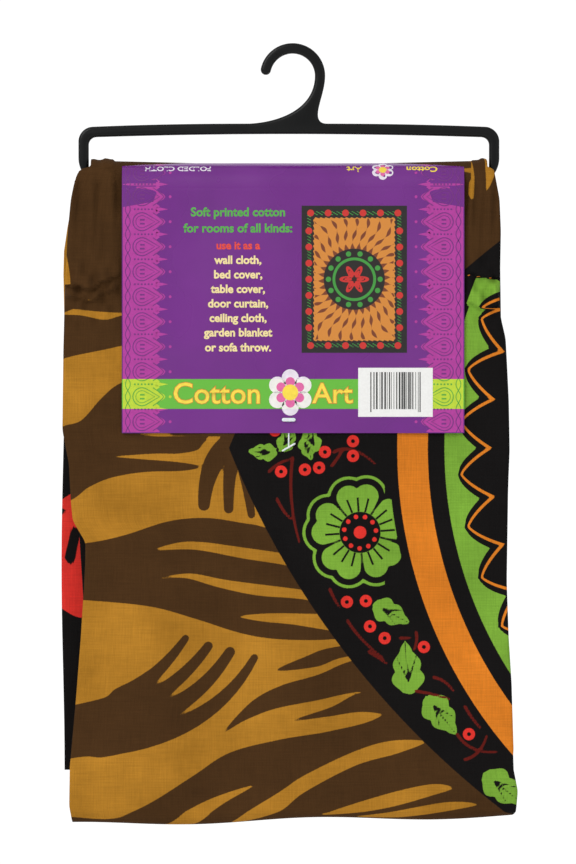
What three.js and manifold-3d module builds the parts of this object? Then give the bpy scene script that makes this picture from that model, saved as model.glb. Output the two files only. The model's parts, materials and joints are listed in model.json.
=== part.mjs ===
// A folded cotton tapestry on a moulded plastic hanger, as it is sold: the cloth hangs over the hanger's
// lower bar in two leaves, and a printed card wraps over the fold and is held in front by a tag pin.
// Millimetres, +Z up, front towards -Y. The origin is the point inside the hook that rests on the rail.
import * as THREE from "three";
import { mergeVertices } from "three/addons/utils/BufferGeometryUtils.js";
import Module from "manifold-3d";

const wasm = await Module();
wasm.setup();

// ---- Driving dimensions ----

const clearance = 0.3; // between cloth, card and whatever they lie against
const curveSteps = 10; // segments in each curve of an outline

const hanger = {
  width: 215.5, // over the two side arms
  bar: 5.3, // height of a bar, and width of an arm
  depth: 5.5, // front to back
  rounding: 1.6, // of the long edges
  hookRadius: 11.4, // inside the hook
  hookSweep: 167, // degrees from the stem round to the middle of the tip
  stemDrop: 24.5, // from the hook's centre down to the top bar
  stemLean: 3.7, // how far the stem's right side comes in between the hook and its foot
  stemFootRadius: 4.6, // of the small fillet at its foot
  topBarBow: 1.6, // how far the top bar rises at its middle
  frameHeight: 30, // from the top bar's ends down to the underside of the lower bar
  upperCornerRadius: 7.6, // outside
  lowerCornerRadius: 14, // outside
  innerCornerRadius: 4,
  frameOffset: -1.9, // the frame's middle, sideways from the hook's centre
  webReach: 22, // how far the stem's long fillet runs along the top bar
};

const cloth = {
  plyWidth: 220, // folded width of the tapestry
  frontLength: 327.5, // below the bar's axis
  backLength: 302, // below the bar's axis, to the longer hem
  hemStep: 21, // the shorter hem ends this much higher
  barThickness: 4.5, // the plies squeezed over the bar, under the card
  shoulderThickness: 7.1, // the same beside the card
  leafThickness: 9.5, // the plies hanging loose
  leafGap: 2, // between the two leaves
  sideClearance: 2.4, // from the fold's ends to the side arms, and from its shoulders to the card
  backOffset: -8, // the back leaf lies further to the left
  lapRise: 5.8, // above the bar's axis, where the plies start to lap over the side arms
  lapHeight: 14, // below which they have their full width
  looseDrop: 22.5, // below the bar's axis, where the plies hang at their loose thickness
  cornerRadius: 7,
};

const card = {
  thickness: 0.5,
  leftMargin: 17.3, // bare cloth between the card and the left arm
  rightMargin: 13,
  frontLength: 129.5, // below the bar's axis
  backLength: 129.5,
  creaseDrop: 5.5, // the front crease, below the bar's axis
  standOff: 1.7, // air between the card and the cloth where the tag pin runs
};

const label = {
  width: 38,
  height: 25,
  thickness: 0.2,
  rightInset: 16.1, // from the card's right edge
  bottomInset: 8.3, // from its lower edge
};

const pin = {
  x: -2,
  headInset: 6.8, // above the card's lower edge
  headLength: 7.1,
  headHeight: 1.9,
  headDepth: 1,
  filament: 0.8, // diameter
  barBelow: 7.2, // below the card's lower edge
  barLength: 8,
  barDiameter: 1,
  barTilt: 30, // degrees
  holeRadius: 0.9,
};

const packSwing = 30; // degrees that the pack can swing either way before its laps meet the side arms

// ---- Places that follow from them ----

const hookCentre = new THREE.Vector2(0, -hanger.hookRadius);
const hookOuter = hanger.hookRadius + hanger.bar;
const topBarTop = hookCentre.y - hanger.stemDrop;
const topBarEnd = topBarTop - hanger.topBarBow;
const frameBottom = topBarEnd - hanger.frameHeight;
const barAxis = frameBottom + hanger.bar / 2; // height of the lower bar's axis, which the joints turn about
const frameX = hanger.frameOffset;
const frameInner = hanger.width / 2 - hanger.bar;
// Nothing that turns about the bar comes nearer its axis than the bar's rounded corner and a clearance.
const cornerY = hanger.depth / 2 - hanger.rounding;
const cornerZ = hanger.bar / 2 - hanger.rounding;
const barReach = Math.hypot(cornerY, cornerZ) + hanger.rounding + clearance;
const foldHalf = Math.min(frameInner - cloth.sideClearance, cloth.plyWidth / 2);
const foldLeft = frameX - foldHalf;
const foldRight = frameX + foldHalf;
const underCard = barReach + cloth.barThickness;
const shoulderRadius = barReach + cloth.shoulderThickness;
const spineInner = underCard + clearance;
const spineOuter = spineInner + card.thickness;
const leafInner = cloth.leafGap / 2;
const leafOuter = leafInner + cloth.leafThickness;
const cardInner = Math.max(leafOuter + card.standOff, spineInner);
const cardOuter = cardInner + card.thickness;
const cardLeft = foldLeft - cloth.sideClearance + card.leftMargin;
const cardRight = foldRight + cloth.sideClearance - card.rightMargin;
const cardBottom = barAxis - card.frontLength;

// ---- Solids ----

const toSolid = (geometry) => {
  const bare = new THREE.BufferGeometry().setAttribute("position", geometry.getAttribute("position").clone());
  if (geometry.index) bare.setIndex(geometry.index.clone());
  const merged = mergeVertices(bare, 1e-4);
  return new wasm.Manifold(
    new wasm.Mesh({
      numProp: 3,
      vertProperties: merged.attributes.position.array,
      triVerts: new Uint32Array(merged.index.array),
    }),
  );
};

const toGeometry = (solid) => {
  const mesh = solid.getMesh();
  return new THREE.BufferGeometry()
    .setAttribute("position", new THREE.BufferAttribute(new Float32Array(mesh.vertProperties), 3))
    .setIndex(new THREE.BufferAttribute(new Uint32Array(mesh.triVerts), 1));
};

// A shape drawn in (y, z), made solid from x0 to x1.
const alongX = (shape, x0, x1, steps = curveSteps) => {
  const geometry = new THREE.ExtrudeGeometry(shape, {
    depth: x1 - x0,
    bevelEnabled: false,
    curveSegments: steps,
  });
  const turn = new THREE.Matrix4().makeBasis(
    new THREE.Vector3(0, 1, 0),
    new THREE.Vector3(0, 0, 1),
    new THREE.Vector3(1, 0, 0),
  );
  return geometry.applyMatrix4(turn).translate(x0, 0, 0);
};

// The same outline without the doubled points where its curves meet, which a bevel can't follow.
const withoutDoubles = (path, steps) => {
  const kept = [];
  path.getPoints(steps).forEach((point) => {
    if (kept.every((other) => other.distanceTo(point) > 0.02)) kept.push(point);
  });
  return kept;
};

// A shape drawn in (x, z), made solid from y0 back to y1, with its long edges rounded.
const alongY = (shape, y0, y1, rounding = 0, steps = curveSteps) => {
  const clean = new THREE.Shape(withoutDoubles(shape, steps));
  clean.holes = shape.holes.map((hole) => new THREE.Path(withoutDoubles(hole, steps)));
  const geometry = new THREE.ExtrudeGeometry(clean, {
    depth: y1 - y0 - 2 * rounding,
    bevelEnabled: rounding > 0,
    bevelSize: rounding,
    bevelOffset: -rounding,
    bevelThickness: rounding,
    bevelSegments: 3,
    curveSegments: steps,
  });
  return geometry.rotateX(Math.PI / 2).translate(0, y1 - rounding, 0);
};

// ---- Hanger: one moulding, drawn as an outline with the frame's opening as a hole ----

const hangerOutline = () => {
  const left = frameX - hanger.width / 2;
  const right = frameX + hanger.width / 2;
  const upper = hanger.upperCornerRadius;
  const lower = hanger.lowerCornerRadius;
  const sweep = THREE.MathUtils.degToRad(hanger.hookSweep);
  const middle = hanger.hookRadius + hanger.bar / 2;
  const tip = new THREE.Vector2(Math.cos(sweep), Math.sin(sweep)).multiplyScalar(middle).add(hookCentre);
  const webStart = -hanger.webReach;
  const foot = hookOuter - hanger.stemLean;
  const hookZ = hookCentre.y;
  const drop = hanger.stemDrop;
  const shape = new THREE.Shape();
  shape.moveTo(left + upper, topBarEnd);
  shape.quadraticCurveTo((left + webStart) / 2, topBarTop, webStart, topBarTop);
  shape.bezierCurveTo(
    0.2 * webStart,
    topBarTop + 0.04 * drop,
    hanger.hookRadius,
    hookZ - 0.64 * drop,
    hanger.hookRadius,
    hookZ,
  );
  shape.absarc(hookCentre.x, hookZ, hanger.hookRadius, 0, sweep, false);
  shape.absarc(tip.x, tip.y, hanger.bar / 2, sweep + Math.PI, sweep, true);
  shape.absarc(hookCentre.x, hookZ, hookOuter, sweep, 0, true);
  const footTop = topBarTop + hanger.stemFootRadius;
  shape.bezierCurveTo(hookOuter, hookZ - 0.3 * drop, foot, hookZ - 0.6 * drop, foot, footTop);
  shape.quadraticCurveTo(foot, topBarTop, foot + hanger.stemFootRadius, topBarTop);
  shape.quadraticCurveTo((right + foot) / 2, topBarTop, right - upper, topBarEnd);
  shape.absarc(right - upper, topBarEnd - upper, upper, Math.PI / 2, 0, true);
  shape.absarc(right - lower, frameBottom + lower, lower, 0, -Math.PI / 2, true);
  shape.absarc(left + lower, frameBottom + lower, lower, -Math.PI / 2, -Math.PI, true);
  shape.absarc(left + upper, topBarEnd - upper, upper, Math.PI, Math.PI / 2, true);
  shape.holes.push(frameOpening());
  return shape;
};

// The hole runs the other way round from the outline, as an extrusion needs.
const frameOpening = () => {
  const left = frameX - frameInner;
  const right = frameX + frameInner;
  const r = hanger.innerCornerRadius;
  const top = topBarEnd - hanger.bar;
  const bottom = frameBottom + hanger.bar;
  const hole = new THREE.Path();
  hole.moveTo(left, top - r);
  hole.absarc(left + r, bottom + r, r, Math.PI, 1.5 * Math.PI, false);
  hole.absarc(right - r, bottom + r, r, 1.5 * Math.PI, 2 * Math.PI, false);
  hole.absarc(right - r, top - r, r, 0, Math.PI / 2, false);
  hole.quadraticCurveTo(frameX, top + 2 * hanger.topBarBow, left + r, top);
  hole.absarc(left + r, top - r, r, Math.PI / 2, Math.PI, false);
  return hole;
};

const hangerFrame = () => alongY(hangerOutline(), -hanger.depth / 2, hanger.depth / 2, hanger.rounding);

// ---- Cloth: two leaves that meet along the top of the fold, each standing for many plies ----

// The part of an outline that passes over the bar on one side, as an arc about its axis.
const overBar = (shape, side, radius, downwards) => {
  const top = Math.PI / 2 - side * Math.asin(clearance / 2 / radius);
  const level = side > 0 ? 0 : Math.PI;
  const start = downwards ? top : level;
  const end = downwards ? level : top;
  shape.absarc(0, barAxis, radius, start, end, downwards === side > 0);
};

// A leaf seen from the side, in (y, z): over the bar at the given radius, then down to its lower edge.
// Each tier is a bundle of plies with a rounded lower edge of its own, the outermost first.
const leafProfile = (side, overRadius, tiers) => {
  const loose = barAxis - cloth.looseDrop;
  const shape = new THREE.Shape();
  overBar(shape, side, overRadius, true);
  shape.quadraticCurveTo(side * overRadius, (barAxis + loose) / 2, side * leafOuter, loose);
  tiers.forEach(({ outer, inner, bottom }) => {
    const round = (outer - inner) / 2;
    const middle = side * (inner + round);
    const start = side > 0 ? 0 : Math.PI;
    shape.absarc(middle, bottom + round, round, start, side > 0 ? -Math.PI : 0, side > 0);
  });
  shape.lineTo(side * leafInner, loose);
  shape.lineTo(side * barReach, barAxis - barReach);
  overBar(shape, side, barReach, false);
  shape.closePath();
  return shape;
};

// A leaf seen from the front, in (x, z): narrow between the side arms, then the full folded width.
const leafOutline = (centre, bottom) => {
  const left = centre - cloth.plyWidth / 2;
  const right = centre + cloth.plyWidth / 2;
  const top = barAxis + shoulderRadius;
  const lap = barAxis + cloth.lapRise;
  const wide = lap - cloth.lapHeight;
  const r = cloth.cornerRadius;
  const shape = new THREE.Shape();
  shape.moveTo(foldLeft, top);
  shape.lineTo(foldRight, top);
  shape.lineTo(foldRight, lap);
  shape.quadraticCurveTo(right, lap, right, wide);
  shape.lineTo(right, bottom + r);
  shape.absarc(right - r, bottom + r, r, 0, -Math.PI / 2, true);
  shape.absarc(left + r, bottom + r, r, -Math.PI / 2, -Math.PI, true);
  shape.lineTo(left, wide);
  shape.quadraticCurveTo(left, lap, foldLeft, lap);
  shape.closePath();
  return shape;
};

// The space that a side arm needs among the plies while the pack swings, drawn in (y, z).
const armSweep = () => {
  const half = barReach + 3 * clearance;
  const height = shoulderRadius + 2;
  const spread = half + height * Math.tan(THREE.MathUtils.degToRad(packSwing + 2));
  const corners = [
    [-half, -half],
    [half, -half],
    [half, 0],
    [spread, height],
    [-spread, height],
    [-half, 0],
  ];
  return new THREE.Shape(corners.map(([y, z]) => new THREE.Vector2(y, barAxis + z)));
};

const leaf = (side, centre, tiers) => {
  const bottom = Math.min(...tiers.map((tier) => tier.bottom));
  const far = cloth.plyWidth;
  const shoulder = leafProfile(side, shoulderRadius, tiers);
  const bundle = toSolid(alongX(leafProfile(side, underCard, tiers), -far, far))
    .add(toSolid(alongX(shoulder, -far, cardLeft - cloth.sideClearance)))
    .add(toSolid(alongX(shoulder, cardRight + cloth.sideClearance, far)));
  const outline = toSolid(alongY(leafOutline(centre, bottom), -2 * leafOuter, 2 * leafOuter));
  const leftArm = toSolid(alongX(armSweep(), -far, foldLeft));
  const rightArm = toSolid(alongX(armSweep(), foldRight, far));
  return toGeometry(bundle.intersect(outline).subtract(leftArm).subtract(rightArm));
};

const frontLeaf = () => {
  const tiers = [{ outer: leafOuter, inner: leafInner, bottom: barAxis - cloth.frontLength }];
  return leaf(-1, 0, tiers);
};

const backLeaf = () => {
  const middle = (leafOuter + leafInner) / 2;
  const longHem = barAxis - cloth.backLength;
  const tiers = [
    { outer: leafOuter, inner: middle, bottom: longHem + cloth.hemStep },
    { outer: middle, inner: leafInner, bottom: longHem },
  ];
  return leaf(1, cloth.backOffset, tiers);
};

// ---- Card: bent over the fold, with a panel down each side ----

const cardHalf = (side, length) => {
  const crease = barAxis - card.creaseDrop;
  const bottom = barAxis - length;
  const shape = new THREE.Shape();
  overBar(shape, side, spineOuter, true);
  shape.lineTo(side * cardOuter, crease);
  shape.lineTo(side * cardOuter, bottom);
  shape.lineTo(side * cardInner, bottom);
  shape.lineTo(side * cardInner, crease);
  overBar(shape, side, spineInner, false);
  shape.closePath();
  return alongX(shape, cardLeft, cardRight, 16);
};

const cardFrontPanel = () => {
  const hole = new THREE.CylinderGeometry(pin.holeRadius, pin.holeRadius, 4 * card.thickness, 12);
  hole.translate(pin.x, -cardInner - card.thickness / 2, cardBottom + pin.headInset);
  return toGeometry(toSolid(cardHalf(-1, card.frontLength)).subtract(toSolid(hole)));
};

const cardBackPanel = () => cardHalf(1, card.backLength);

const priceLabel = () =>
  new THREE.BoxGeometry(label.width, label.thickness, label.height).translate(
    cardRight - label.rightInset - label.width / 2,
    -cardOuter - label.thickness / 2,
    cardBottom + label.bottomInset + label.height / 2,
  );

// ---- Tag pin: a head on the card, a filament through it, and a T-bar hanging below the card's edge ----

const tagPin = () => {
  const headY = -cardOuter - clearance / 2 - pin.headDepth / 2;
  const behindY = -leafOuter - card.standOff / 2;
  const headZ = cardBottom + pin.headInset;
  const barZ = cardBottom - pin.barBelow;
  const head = new THREE.CapsuleGeometry(pin.headHeight / 2, pin.headLength - pin.headHeight, 3, 10);
  head.rotateZ(Math.PI / 2).scale(1, pin.headDepth / pin.headHeight, 1).translate(pin.x, headY, headZ);
  const bar = new THREE.CapsuleGeometry(pin.barDiameter / 2, pin.barLength - pin.barDiameter, 3, 8);
  bar.rotateZ(Math.PI / 2).rotateY(-THREE.MathUtils.degToRad(pin.barTilt)).translate(pin.x, behindY, barZ);
  const route = new THREE.CatmullRomCurve3(
    [
      new THREE.Vector3(pin.x, headY, headZ),
      new THREE.Vector3(pin.x, -cardInner - card.thickness / 2, headZ),
      new THREE.Vector3(pin.x, behindY, headZ - 1),
      new THREE.Vector3(pin.x, behindY, headZ - 3),
      new THREE.Vector3(pin.x, behindY, barZ),
    ],
    false,
    "centripetal",
  );
  const section = new THREE.Shape().absarc(0, 0, pin.filament / 2, 0, 2 * Math.PI, false);
  const filament = new THREE.ExtrudeGeometry(section, { steps: 24, curveSegments: 4, extrudePath: route });
  return toGeometry(toSolid(head).add(toSolid(filament)).add(toSolid(bar)));
};

// ---- Materials and assembly ----

const finish = (color, roughness) => new THREE.MeshStandardMaterial({ color, roughness, metalness: 0 });

const blackPlastic = finish(0x1b1d1e, 0.45);
const printedCotton = finish(0x8a5f22, 0.9);
const printedCard = finish(0x76298c, 0.28);
const labelPaper = finish(0xf5f5f2, 0.6);
const clearNylon = finish(0xe6eceb, 0.3);

const add = (group, name, geometry, material) => {
  const mesh = new THREE.Mesh(geometry, material);
  mesh.name = name;
  group.add(mesh);
};

const tapestryOnHanger = new THREE.Group();

const hangerGroup = new THREE.Group();
add(hangerGroup, "hanger_frame", hangerFrame(), blackPlastic);

const backGroup = new THREE.Group();
add(backGroup, "cloth_back_leaf", backLeaf(), printedCotton);
add(backGroup, "card_back_panel", cardBackPanel(), printedCard);

const frontGroup = new THREE.Group();
add(frontGroup, "cloth_front_leaf", frontLeaf(), printedCotton);
add(frontGroup, "card_front_panel", cardFrontPanel(), printedCard);
add(frontGroup, "price_label", priceLabel(), labelPaper);
add(frontGroup, "tag_pin", tagPin(), clearNylon);

tapestryOnHanger.add(hangerGroup, backGroup, frontGroup);

export default tapestryOnHanger;
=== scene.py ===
# A folded cotton tapestry on a moulded plastic hanger: how each piece looks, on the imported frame.
# Piece sizes are worked out in millimetres, and turned to metres when a mesh is made. The front faces -Y.
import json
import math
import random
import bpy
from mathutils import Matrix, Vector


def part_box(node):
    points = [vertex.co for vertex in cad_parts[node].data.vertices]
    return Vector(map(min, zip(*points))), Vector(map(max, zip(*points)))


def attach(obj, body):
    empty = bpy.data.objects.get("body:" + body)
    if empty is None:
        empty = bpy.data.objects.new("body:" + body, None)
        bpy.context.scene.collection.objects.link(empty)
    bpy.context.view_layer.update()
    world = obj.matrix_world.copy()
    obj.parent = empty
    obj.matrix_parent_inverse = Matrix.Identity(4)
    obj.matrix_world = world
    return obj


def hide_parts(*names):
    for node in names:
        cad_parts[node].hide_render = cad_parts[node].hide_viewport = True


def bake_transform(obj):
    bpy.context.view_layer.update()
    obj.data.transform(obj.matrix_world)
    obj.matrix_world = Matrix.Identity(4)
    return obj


bl_info = {
    "name": "Folded tapestry on a hanger",
    "version": (1, 0, 0),
    "blender": (4, 5, 0),
    "location": "3D View > Sidebar > Tapestry",
    "description": "Builds a printed cotton tapestry that hangs folded on a plastic hanger, with its card",
    "category": "Add Mesh",
}

import bmesh
import bpy
import numpy as np

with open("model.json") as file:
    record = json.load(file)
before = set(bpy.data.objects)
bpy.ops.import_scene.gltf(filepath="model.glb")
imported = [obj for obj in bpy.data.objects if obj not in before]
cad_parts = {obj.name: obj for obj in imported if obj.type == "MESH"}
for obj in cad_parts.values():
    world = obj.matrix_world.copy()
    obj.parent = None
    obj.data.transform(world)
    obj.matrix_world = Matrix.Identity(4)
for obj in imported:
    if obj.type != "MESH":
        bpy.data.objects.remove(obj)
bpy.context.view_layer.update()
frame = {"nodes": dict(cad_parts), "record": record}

MM = 0.001
FAR = 40.0  # mm, a depth that stands for "nowhere near"


def joint_height(name):
    """The height of a joint's axis in the frame, in millimetres."""
    found = [joint for joint in frame["record"]["behaviour"]["joints"] if joint["name"] == name]
    return found[0]["pos_m"][2] / MM


def node_box(name):
    """A CAD node's lowest and highest corners in millimetres."""
    low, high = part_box(name)
    return [value / MM for value in low], [value / MM for value in high]


BAR_AXIS = joint_height("pack_swing")
HANGER_LOW, HANGER_HIGH = node_box("hanger_frame")
FRONT_LOW = node_box("cloth_front_leaf")[0]
BACK_LOW = node_box("cloth_back_leaf")[0]
CARD_LOW, CARD_HIGH = node_box("card_front_panel")
LABEL_LOW, LABEL_HIGH = node_box("price_label")


# ---- Sizes and colours that a user would change ----


def millimetres(name, description, default):
    """A length property, held in metres."""
    return bpy.props.FloatProperty(
        name=name, description=description, default=default * MM, unit="LENGTH", precision=5
    )


class HangerSizes(bpy.types.PropertyGroup):
    bar: millimetres("Bar", "Height of a bar and width of a side arm", 5.3)
    hook_radius: millimetres("Hook radius", "Radius inside the hook", 11.4)
    stem_drop: millimetres("Stem drop", "From the hook's centre down to the top bar", 24.5)
    stem_lean: millimetres("Stem lean", "How far the stem's right side comes in at its foot", 3.7)
    foot_radius: millimetres("Foot radius", "Small fillet at the foot of the stem", 4.6)
    bow: millimetres("Bow", "How far the top bar rises at its middle", 1.6)
    web_reach: millimetres("Web reach", "How far the stem's long fillet runs along the top bar", 22)
    upper_corner: millimetres("Upper corner", "Outside radius of the frame's upper corners", 7.6)
    lower_corner: millimetres("Lower corner", "Outside radius of the frame's lower corners", 14)
    inner_corner: millimetres("Inner corner", "Radius of the opening's corners", 4)
    rounding: millimetres("Rounding", "Radius of the long edges", 1.6)
    hook_sweep: bpy.props.FloatProperty(
        name="Hook sweep",
        description="Angle from the stem round to the middle of the hook's tip",
        default=math.radians(167),
        subtype="ANGLE",
    )


class ClothSizes(bpy.types.PropertyGroup):
    layer: millimetres("Layer", "Depth of one ply in a loose leaf", 0.475)
    under_card: millimetres("Under the card", "All plies where the card squeezes them over the bar", 4.5)
    shoulder: millimetres("Shoulder", "All plies over the bar, beside the card", 7.1)
    wave: millimetres("Wave", "Depth of the soft waves in the hanging leaves", 1.5)
    hem_width: millimetres("Hem width", "From a hem's edge to its line of stitches", 11)
    stitch_pitch: millimetres("Stitch pitch", "From one stitch to the next", 3.6)
    weave: millimetres("Weave", "Spacing of the threads that show", 0.8)


class CardSizes(bpy.types.PropertyGroup):
    thickness: millimetres("Thickness", "Of the card", 0.5)
    crease_drop: millimetres("Crease drop", "From the bar's axis down to the crease", 5.5)
    motif_pitch: millimetres("Motif pitch", "From one drop of the border to the next", 12.75)


class TapestryColours(bpy.types.PropertyGroup):
    ochre: bpy.props.StringProperty(name="Ochre", description="Ground of the print", default="#C68B30")
    brown: bpy.props.StringProperty(name="Brown", description="Tongues of the print", default="#4E341B")
    black: bpy.props.StringProperty(name="Black", description="Border of the print", default="#171515")
    orange: bpy.props.StringProperty(name="Orange", description="Ring and arch lines", default="#EC8829")
    green: bpy.props.StringProperty(name="Green", description="Leaves and flower", default="#82B43E")
    maroon: bpy.props.StringProperty(name="Maroon", description="Twigs", default="#6A1E18")
    red: bpy.props.StringProperty(name="Red", description="Berries", default="#F03A32")


class StageSizes(bpy.types.PropertyGroup):
    distance: bpy.props.FloatProperty(
        name="Camera distance", description="In front of the object", default=3.0, unit="LENGTH"
    )
    view_height: millimetres("View height", "Height that the camera takes in at the object", 440.6)
    aim_x: millimetres("Aim across", "Sideways place of the camera", -2.35)
    aim_z: millimetres("Aim height", "Height of the camera", -193.8)
    floor_drop: millimetres("Floor drop", "From the origin down to the floor", 1250)


# ---- Small tools ----


def linear(hex_colour):
    """An sRGB hex colour as linear red, green, blue and alpha."""
    channels = [int(hex_colour[i : i + 2], 16) / 255 for i in (1, 3, 5)]
    turned = [c / 12.92 if c <= 0.04045 else ((c + 0.055) / 1.055) ** 2.4 for c in channels]
    return (*turned, 1.0)


def add_node(tree, kind, inputs=None, **settings):
    """Adds a node with its settings, and sets or links its inputs by name or number."""
    made = tree.nodes.new(kind)
    for name, value in settings.items():
        setattr(made, name, value)
    for key, value in (inputs or {}).items():
        if isinstance(value, bpy.types.NodeSocket):
            tree.links.new(value, made.inputs[key])
        else:
            made.inputs[key].default_value = value
    return made


def new_material(name):
    """An empty material and its node tree."""
    material = bpy.data.materials.new(name)
    material.use_nodes = True
    material.node_tree.nodes.clear()
    return material, material.node_tree


def finish_surface(tree, shader):
    """Sends a shader to the material's output."""
    add_node(tree, "ShaderNodeOutputMaterial", {"Surface": shader.outputs[0]})


def ease(value, low, high):
    """0 below low, 1 above high, and a smooth turn between them."""
    t = np.clip((value - low) / (high - low), 0, 1)
    return t * t * (3 - 2 * t)


def grid_faces(rows, columns, first=0):
    """The quads of a grid whose points run along its rows."""
    corner = first + np.arange(rows - 1)[:, None] * columns + np.arange(columns - 1)[None, :]
    return np.stack([corner, corner + 1, corner + columns + 1, corner + columns], -1).reshape(-1, 4)


def new_object(name, points, faces, materials, smooth=True):
    """A mesh object at the origin. points are in millimetres."""
    mesh = bpy.data.meshes.new(name)
    mesh.from_pydata((np.asarray(points, float) * MM).tolist(), [], [list(map(int, f)) for f in faces])
    for material in materials:
        mesh.materials.append(material)
    if smooth:
        mesh.shade_smooth()
    else:
        mesh.shade_flat()
    mesh.update()
    thing = bpy.data.objects.new(name, mesh)
    bpy.context.scene.collection.objects.link(thing)
    return thing


def store(mesh, name, values):
    """Keeps one number for each point, for a material to read."""
    attribute = mesh.attributes.new(name, "FLOAT", "POINT")
    attribute.data.foreach_set("value", np.asarray(values, np.float32).ravel())


def store_map(mesh, u, v, name="UVMap"):
    """Keeps the flat place of each point, in metres, as a UV map."""
    corners = np.empty(len(mesh.loops), np.int64)
    mesh.loops.foreach_get("vertex_index", corners)
    flat = np.stack([np.ravel(u)[corners], np.ravel(v)[corners]], -1) * MM
    mesh.uv_layers.new(name=name).data.foreach_set("uv", flat.ravel())


def evaluated_copy(thing, name):
    """The plain mesh that an object's modifiers give, with the modifiers gone from the object."""
    depsgraph = bpy.context.evaluated_depsgraph_get()
    mesh = bpy.data.meshes.new_from_object(thing.evaluated_get(depsgraph))
    mesh.name = name
    thing.modifiers.clear()
    return mesh


# ---- Hanger ----


def arc(cx, cz, radius, start, end, steps=24):
    """Points on an arc, angles in radians."""
    angles = np.linspace(start, end, steps + 1)
    return [(cx + radius * math.cos(a), cz + radius * math.sin(a)) for a in angles]


def bezier(points, steps=28):
    """Points on a curve of two, three or four control points."""
    degree = len(points) - 1
    curve = []
    for t in np.linspace(0, 1, steps + 1):
        weights = [math.comb(degree, k) * t**k * (1 - t) ** (degree - k) for k in range(degree + 1)]
        curve.append(tuple(sum(w * p[axis] for w, p in zip(weights, points)) for axis in (0, 1)))
    return curve


def without_doubles(points):
    """The same closed outline without points that lie on each other."""
    kept = []
    for point in points:
        if all(math.dist(point, other) > 0.03 for other in kept):
            kept.append(point)
    return kept


def hanger_outline(sizes):
    """The hanger from the front, hook and frame, as (x, z)."""
    hook = sizes.hook_radius / MM
    bar = sizes.bar / MM
    outer = hook + bar
    top = -hook - sizes.stem_drop / MM
    drop = sizes.stem_drop / MM
    end = top - sizes.bow / MM
    left, right = HANGER_LOW[0], HANGER_HIGH[0]
    bottom = HANGER_LOW[2]
    upper = sizes.upper_corner / MM
    lower = sizes.lower_corner / MM
    web = -sizes.web_reach / MM
    foot = outer - sizes.stem_lean / MM
    fillet = sizes.foot_radius / MM
    sweep = sizes.hook_sweep
    tip = (math.cos(sweep) * (hook + bar / 2), -hook + math.sin(sweep) * (hook + bar / 2))
    outline = bezier([(left + upper, end), ((left + web) / 2, top), (web, top)])
    side = -hook - 0.64 * drop
    outline += bezier([(web, top), (0.2 * web, top + 0.04 * drop), (hook, side), (hook, -hook)])
    outline += arc(0, -hook, hook, 0, sweep, 56)
    outline += arc(*tip, bar / 2, sweep + math.pi, sweep)
    outline += arc(0, -hook, outer, sweep, 0, 64)
    shoulder, ankle = -hook - 0.3 * drop, -hook - 0.6 * drop
    outline += bezier([(outer, -hook), (outer, shoulder), (foot, ankle), (foot, top + fillet)])
    outline += bezier([(foot, top + fillet), (foot, top), (foot + fillet, top)], 10)
    outline += bezier([(foot + fillet, top), ((right + foot) / 2, top), (right - upper, end)])
    outline += arc(right - upper, end - upper, upper, math.pi / 2, 0)
    outline += arc(right - lower, bottom + lower, lower, 0, -math.pi / 2)
    outline += arc(left + lower, bottom + lower, lower, -math.pi / 2, -math.pi)
    outline += arc(left + upper, end - upper, upper, math.pi, math.pi / 2)
    return without_doubles(outline)


def hanger_opening(sizes):
    """The frame's opening from the front, as (x, z)."""
    bar = sizes.bar / MM
    bow = sizes.bow / MM
    r = sizes.inner_corner / MM
    left, right = HANGER_LOW[0] + bar, HANGER_HIGH[0] - bar
    top = -sizes.hook_radius / MM - sizes.stem_drop / MM - bow - bar
    bottom = HANGER_LOW[2] + bar
    opening = arc(left + r, bottom + r, r, math.pi, 1.5 * math.pi, 10)
    opening += arc(right - r, bottom + r, r, 1.5 * math.pi, 2 * math.pi, 10)
    opening += arc(right - r, top - r, r, 0, math.pi / 2, 10)
    opening += bezier([(right - r, top), ((left + right) / 2, top + 2 * bow), (left + r, top)])
    opening += arc(left + r, top - r, r, math.pi / 2, math.pi, 10)
    return without_doubles(opening)


def moulded_plastic():
    """Injection-moulded polystyrene, off a lightly textured mould: satin black with soft broad highlights."""
    material, tree = new_material("Moulded black polystyrene")
    place = add_node(tree, "ShaderNodeTexCoord").outputs["Object"]
    # Flow of the melt along the bars, tens of millimetres long.
    flow = add_node(tree, "ShaderNodeTexNoise", {"Vector": place, "Scale": 38.0, "Detail": 3.0})
    # The mould's fine spark texture, drawn at 0.5 mm so that it shows.
    grain = add_node(tree, "ShaderNodeTexNoise", {"Vector": place, "Scale": 2000.0, "Detail": 2.0})
    tone = add_node(
        tree,
        "ShaderNodeMix",
        {0: flow.outputs["Fac"], 6: linear("#050606"), 7: linear("#0B0C0D")},
        data_type="RGBA",
    )
    rough = add_node(
        tree, "ShaderNodeMapRange", {"Value": flow.outputs["Fac"], "To Min": 0.3, "To Max": 0.46}
    )
    bump = add_node(
        tree, "ShaderNodeBump", {"Height": grain.outputs["Fac"], "Strength": 0.12, "Distance": 0.0001}
    )
    shader = add_node(
        tree,
        "ShaderNodeBsdfPrincipled",
        {
            "Base Color": tone.outputs[2],
            "Roughness": rough.outputs[0],
            "IOR": 1.55,
            "Specular IOR Level": 0.2,
            "Normal": bump.outputs[0],
        },
    )
    finish_surface(tree, shader)
    return material


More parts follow.
